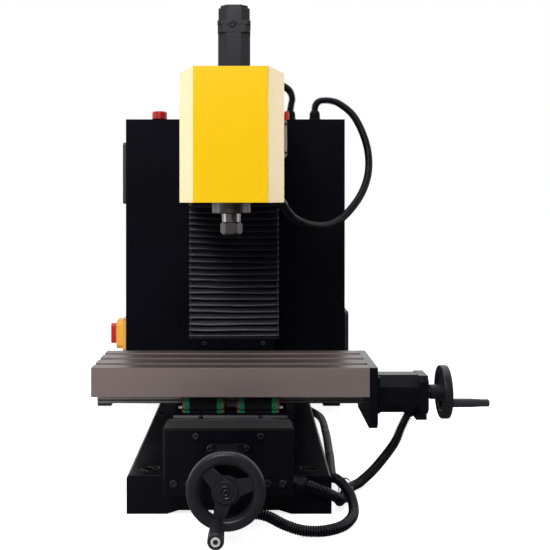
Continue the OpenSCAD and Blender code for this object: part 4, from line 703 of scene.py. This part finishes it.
def make_bellows():
    """Pleated cloth of the Z bellows, and the frames at its foot and top."""
    low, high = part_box("z_bellows")
    half, front, back = high.x / MM, low.y / MM, high.y / MM - 1
    bottom, top = low.z / MM + 2, high.z / MM - 2
    pleats, depth, side_depth = 22, 7.4, 2.6
    # one pleat from its foot up: (share of the pitch, share of the depth)
    fold = ((0.0, 1.0), (0.06, 0.8), (0.13, 0.4), (0.17, 0.14), (0.2, 0.04), (0.25, 0.0),
            (0.32, 0.03), (0.48, 0.18), (0.68, 0.46), (0.87, 0.78))
    path = u_path(half - 0.5, front + 0.5, back, 3, 3.5)
    pitch = (top - bottom) / pleats
    rows = [(n, t, inset) for n in range(pleats) for t, inset in fold] + [(pleats, 0.0, 1.0)]
    calm = 12
    points = []
    for n, t, inset in rows:
        z0 = bottom + (n + t) * pitch
        edge = min(1, (z0 - bottom) / calm, (top - z0) / calm)
        # each pleat leans, ripples and sags a little, and hangs loose between its creases
        lean = wander(n * 0.8, 1.3, 0.4) * 1.5
        for i, (x, y, nx, ny) in enumerate(path):
            ripple = wander(x * 0.016 + n * 5.1, y * 0.03, n * 2.3) * 0.9
            sag = -1.1 * (1 - inset) - 0.9 * (1 - (x / half) ** 2) * (1 - inset)
            z = z0 + max(edge, 0) * (lean * x / half + ripple * (1 - 0.5 * inset) + sag)
            loose = 0.5 * abs(wander(x * 0.04, n * 1.9, 7.7)) * (1 - inset)
            points.append((x - nx * (inset * side_depth + loose), y - ny * (inset * depth + loose), z))
    obj = new_piece("bellows_folds", points, grid_faces(len(rows), len(path)), "frame", "bellows_black")
    thickened(obj, 0.7, 1)
    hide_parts("z_bellows")
    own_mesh(obj)
    bar, thick = 9, 2
    places = (("bellows_foot_frame", bottom - thick, "frame"), ("bellows_top_frame", top, "head"))
    for name, z, body in places:
        outer = [(-half, back), (-half, front), (half, front), (half, back)]
        inner = [(half - bar, back), (half - bar, front + bar), (-half + bar, front + bar),
                 (-half + bar, back)]
        ring = outer + inner
        ends = [[0, 1, 6, 7], [1, 2, 5, 6], [2, 3, 4, 5]]
        points = [(x, y, z + h) for h in (0, thick) for x, y in ring]
        faces = [face[::-1] for face in ends] + [[8 + i for i in face] for face in ends]
        faces += [[i, (i + 1) % 8, 8 + (i + 1) % 8, 8 + i] for i in range(8)]
        new_piece(name, points, faces, body, "bellows_black", smooth=False)


def make_way_cover():
    """Cloth over the Y ways: folded from the saddle to the bracket, flat on top of the bracket.

    Its folds are deep enough for the cloth to reach with the saddle fully back.
    """
    low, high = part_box("y_way_cover")
    half = high.x / MM - 0.6
    rear, front = high.y / MM, low.y / MM
    rest_z, saddle_z = 125.2, 97.0
    flat_from = -240.0
    steps, across = 150, 48
    folds, folded_share = 5, 0.72
    crest, deep = 3.6, 7.6      # a fold's crest above the slope, and half of its height
    points = []
    for j in range(steps + 1):
        s = j / steps
        for i in range(across + 1):
            u = 2 * i / across - 1
            x = half * u * (1 - 0.004 * math.sin(9 * s + 2 * u))
            if s < folded_share:
                q = s / folded_share
                y = rear - 0.4 + (flat_from - rear + 0.4) * q
                fade = min(1, 7 * q, 7 * (1 - q))
                wave = math.sin(2 * math.pi * (folds * q + 0.05 * wander(u * 1.3, q * 2, 3.1)))
                z = saddle_z + (rest_z - saddle_z) * q + fade * (
                    deep * (wave - 1) + crest + 0.9 * wander(u * 3.1, q * 6, 0.7) - 0.5 * u * u)
            else:
                q = (s - folded_share) / (1 - folded_share)
                y = flat_from + (front + 1 - flat_from) * q
                z = rest_z + 0.25 + 0.35 * abs(wander(u * 4, q * 3, 5.5)) * math.sin(math.pi * q)
            points.append((x, y, z))
    faces = grid_faces(steps + 1, across + 1)
    obj = new_piece("way_cover_sheet", points, faces, None, "bellows_black", finish="way_cloth")
    thickened(obj, 0.9, 1 if obj.data.polygons[0].normal.z > 0 else -1)
    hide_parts("y_way_cover")
    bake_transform(obj)


# ------------------------------------------------------------------ small hardware

def socket_screw(at, along, head_r, head_h):
    """Head of a socket cap screw with its hexagon."""
    outer = [(head_r * 0.97, 0), (head_r, 0.05 * head_h), (head_r, 0.82 * head_h),
             (head_r * 0.9, head_h), (head_r * 0.56, head_h)]
    turn = frame_along(along)
    points = []
    sides = 24
    hexagon = [0.5 * head_r / math.cos(math.radians((360 * k / sides) % 60 - 30)) for k in range(sides)]
    rings = [[(r, h)] * sides for r, h in outer] + [[(hexagon[k], head_h) for k in range(sides)],
                                                    [(hexagon[k], 0.35 * head_h) for k in range(sides)]]
    for ring in rings:
        for k, (radius, height) in enumerate(ring):
            a = 2 * math.pi * k / sides
            points.append(Vector(at) + turn @ Vector((radius * math.cos(a), radius * math.sin(a), height)))
    return points, ring_faces(len(rings), sides)


def grease_nipples():
    """Nipples on the outer ends of the four X carriages."""
    nipple = [(2.6, 0), (2.6, 1.4), (1.7, 1.8), (1.7, 2.6), (2.3, 3.2), (2.3, 4.4), (1.2, 5.4)]
    end_x, rows_y, height = 70.8, (-142, -62), 120.5
    parts = [lathe(nipple, (side * end_x, y, height), (side, 0, 0), 12)
             for side in (-1, 1) for y in rows_y]
    joined("grease_nipples", parts, "saddle", "steel", finish="bright_steel")


def cap_screws():
    """Small screws in the green end caps, on the sides of the X carriages."""
    head = [(1.1, -0.1), (1.1, 0.25), (0.8, 0.4)]
    caps_x, heights = (-64, -16, 16, 64), (118.4, 123.6)
    faces_y = ((-151, -1), (-37, 1))
    parts = [lathe(head, (x, y, z), (0, way, 0), 12)
             for x in caps_x for y, way in faces_y for z in heights]
    joined("cap_screws", parts, "saddle", "screw_black")


def foot_seats():
    """Machined rings round the hold-down holes."""
    ring = [(6.2, 0), (11.6, 0), (11.6, 0.25), (6.2, 0.25)]
    sides = 40
    last = sides * (len(ring) - 1)
    parts = [lathe(ring, (x, y, SEAT_Z), (0, 0, 1), sides)
             for x in (-HOLD_X, HOLD_X) for y in (-HOLD_Y, HOLD_Y)]
    for _, faces in parts:
        del faces[-2:]
        faces += [[last + k, last + (k + 1) % sides, (k + 1) % sides, k] for k in range(sides)]
    joined("foot_seats", parts, "frame", "steel", smooth=False)


def plate_screws():
    """Two socket screws in the flange of the side plate."""
    low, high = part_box("side_plate")
    x, y = high.x / MM - 2.4, low.y / MM
    parts = [socket_screw((x, y, z), (0, -1, 0), 2.3, 1.6)
             for z in (low.z / MM + 7, high.z / MM - 7)]
    joined("side_plate_screws", parts, "head", "screw_black")


def z_motor_details():
    """Plug on the front of the Z motor's brake."""
    low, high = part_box("z_motor")
    aside, sunk, below_top = 3, 0.9, 34
    place = (-aside, low.y / MM + sunk, high.z / MM - below_top)
    plug = lathe([(7, -0.5), (7, 0.8), (6.2, 1.4), (2.2, 1.4), (1.6, 0.8)], place, (0, -1, 0), 28)
    joined("z_motor_plug", [plug], "frame", "motor_grey")


def wheel_screws():
    """Screws in the hubs and in the ends of the grips."""
    low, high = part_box("y_grip")
    grip = (low + high) / 2 / MM
    parts = [socket_screw((grip.x, low.y / MM + 0.9, grip.z), (0, -1, 0), 5.6, 1.4)]
    joined("y_grip_screw", parts, "y_screw", "steel", finish="bright_steel")
    middle = (0, HUB_Y, Y_AXIS_Z)
    hub = [lathe([(8.6, -0.2), (8.6, 0.6), (8, 1), (5.4, 1), (5.4, 0.2)], middle, (0, -1, 0), 32),
           socket_screw(middle, (0, -1, 0), 4.6, 2.4)]
    joined("y_hub_screw", hub, "y_screw", "screw_black")
    low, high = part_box("x_grip")
    grip = (low + high) / 2 / MM
    parts = [socket_screw((high.x / MM - 0.6, grip.y, grip.z), (1, 0, 0), 3.4, 1)]
    joined("x_grip_screw", parts, "x_screw", "steel", finish="bright_steel")
    hub = [socket_screw((HUB_X, TABLE_Y, X_AXIS_Z), (1, 0, 0), 4.6, 2)]
    joined("x_hub_screw", hub, "x_screw", "screw_black")


def make_hardware():
    wheel_screws()
    grease_nipples()
    cap_screws()
    foot_seats()
    plate_screws()
    z_motor_details()


# ------------------------------------------------------------------ assembly of the scene

place_camera()
light_the_studio()
make_floor()
finishes = make_finishes()
make_conduits()
make_bellows()
make_way_cover()
make_hardware()
dress_nodes(finishes, make_variants(finishes))
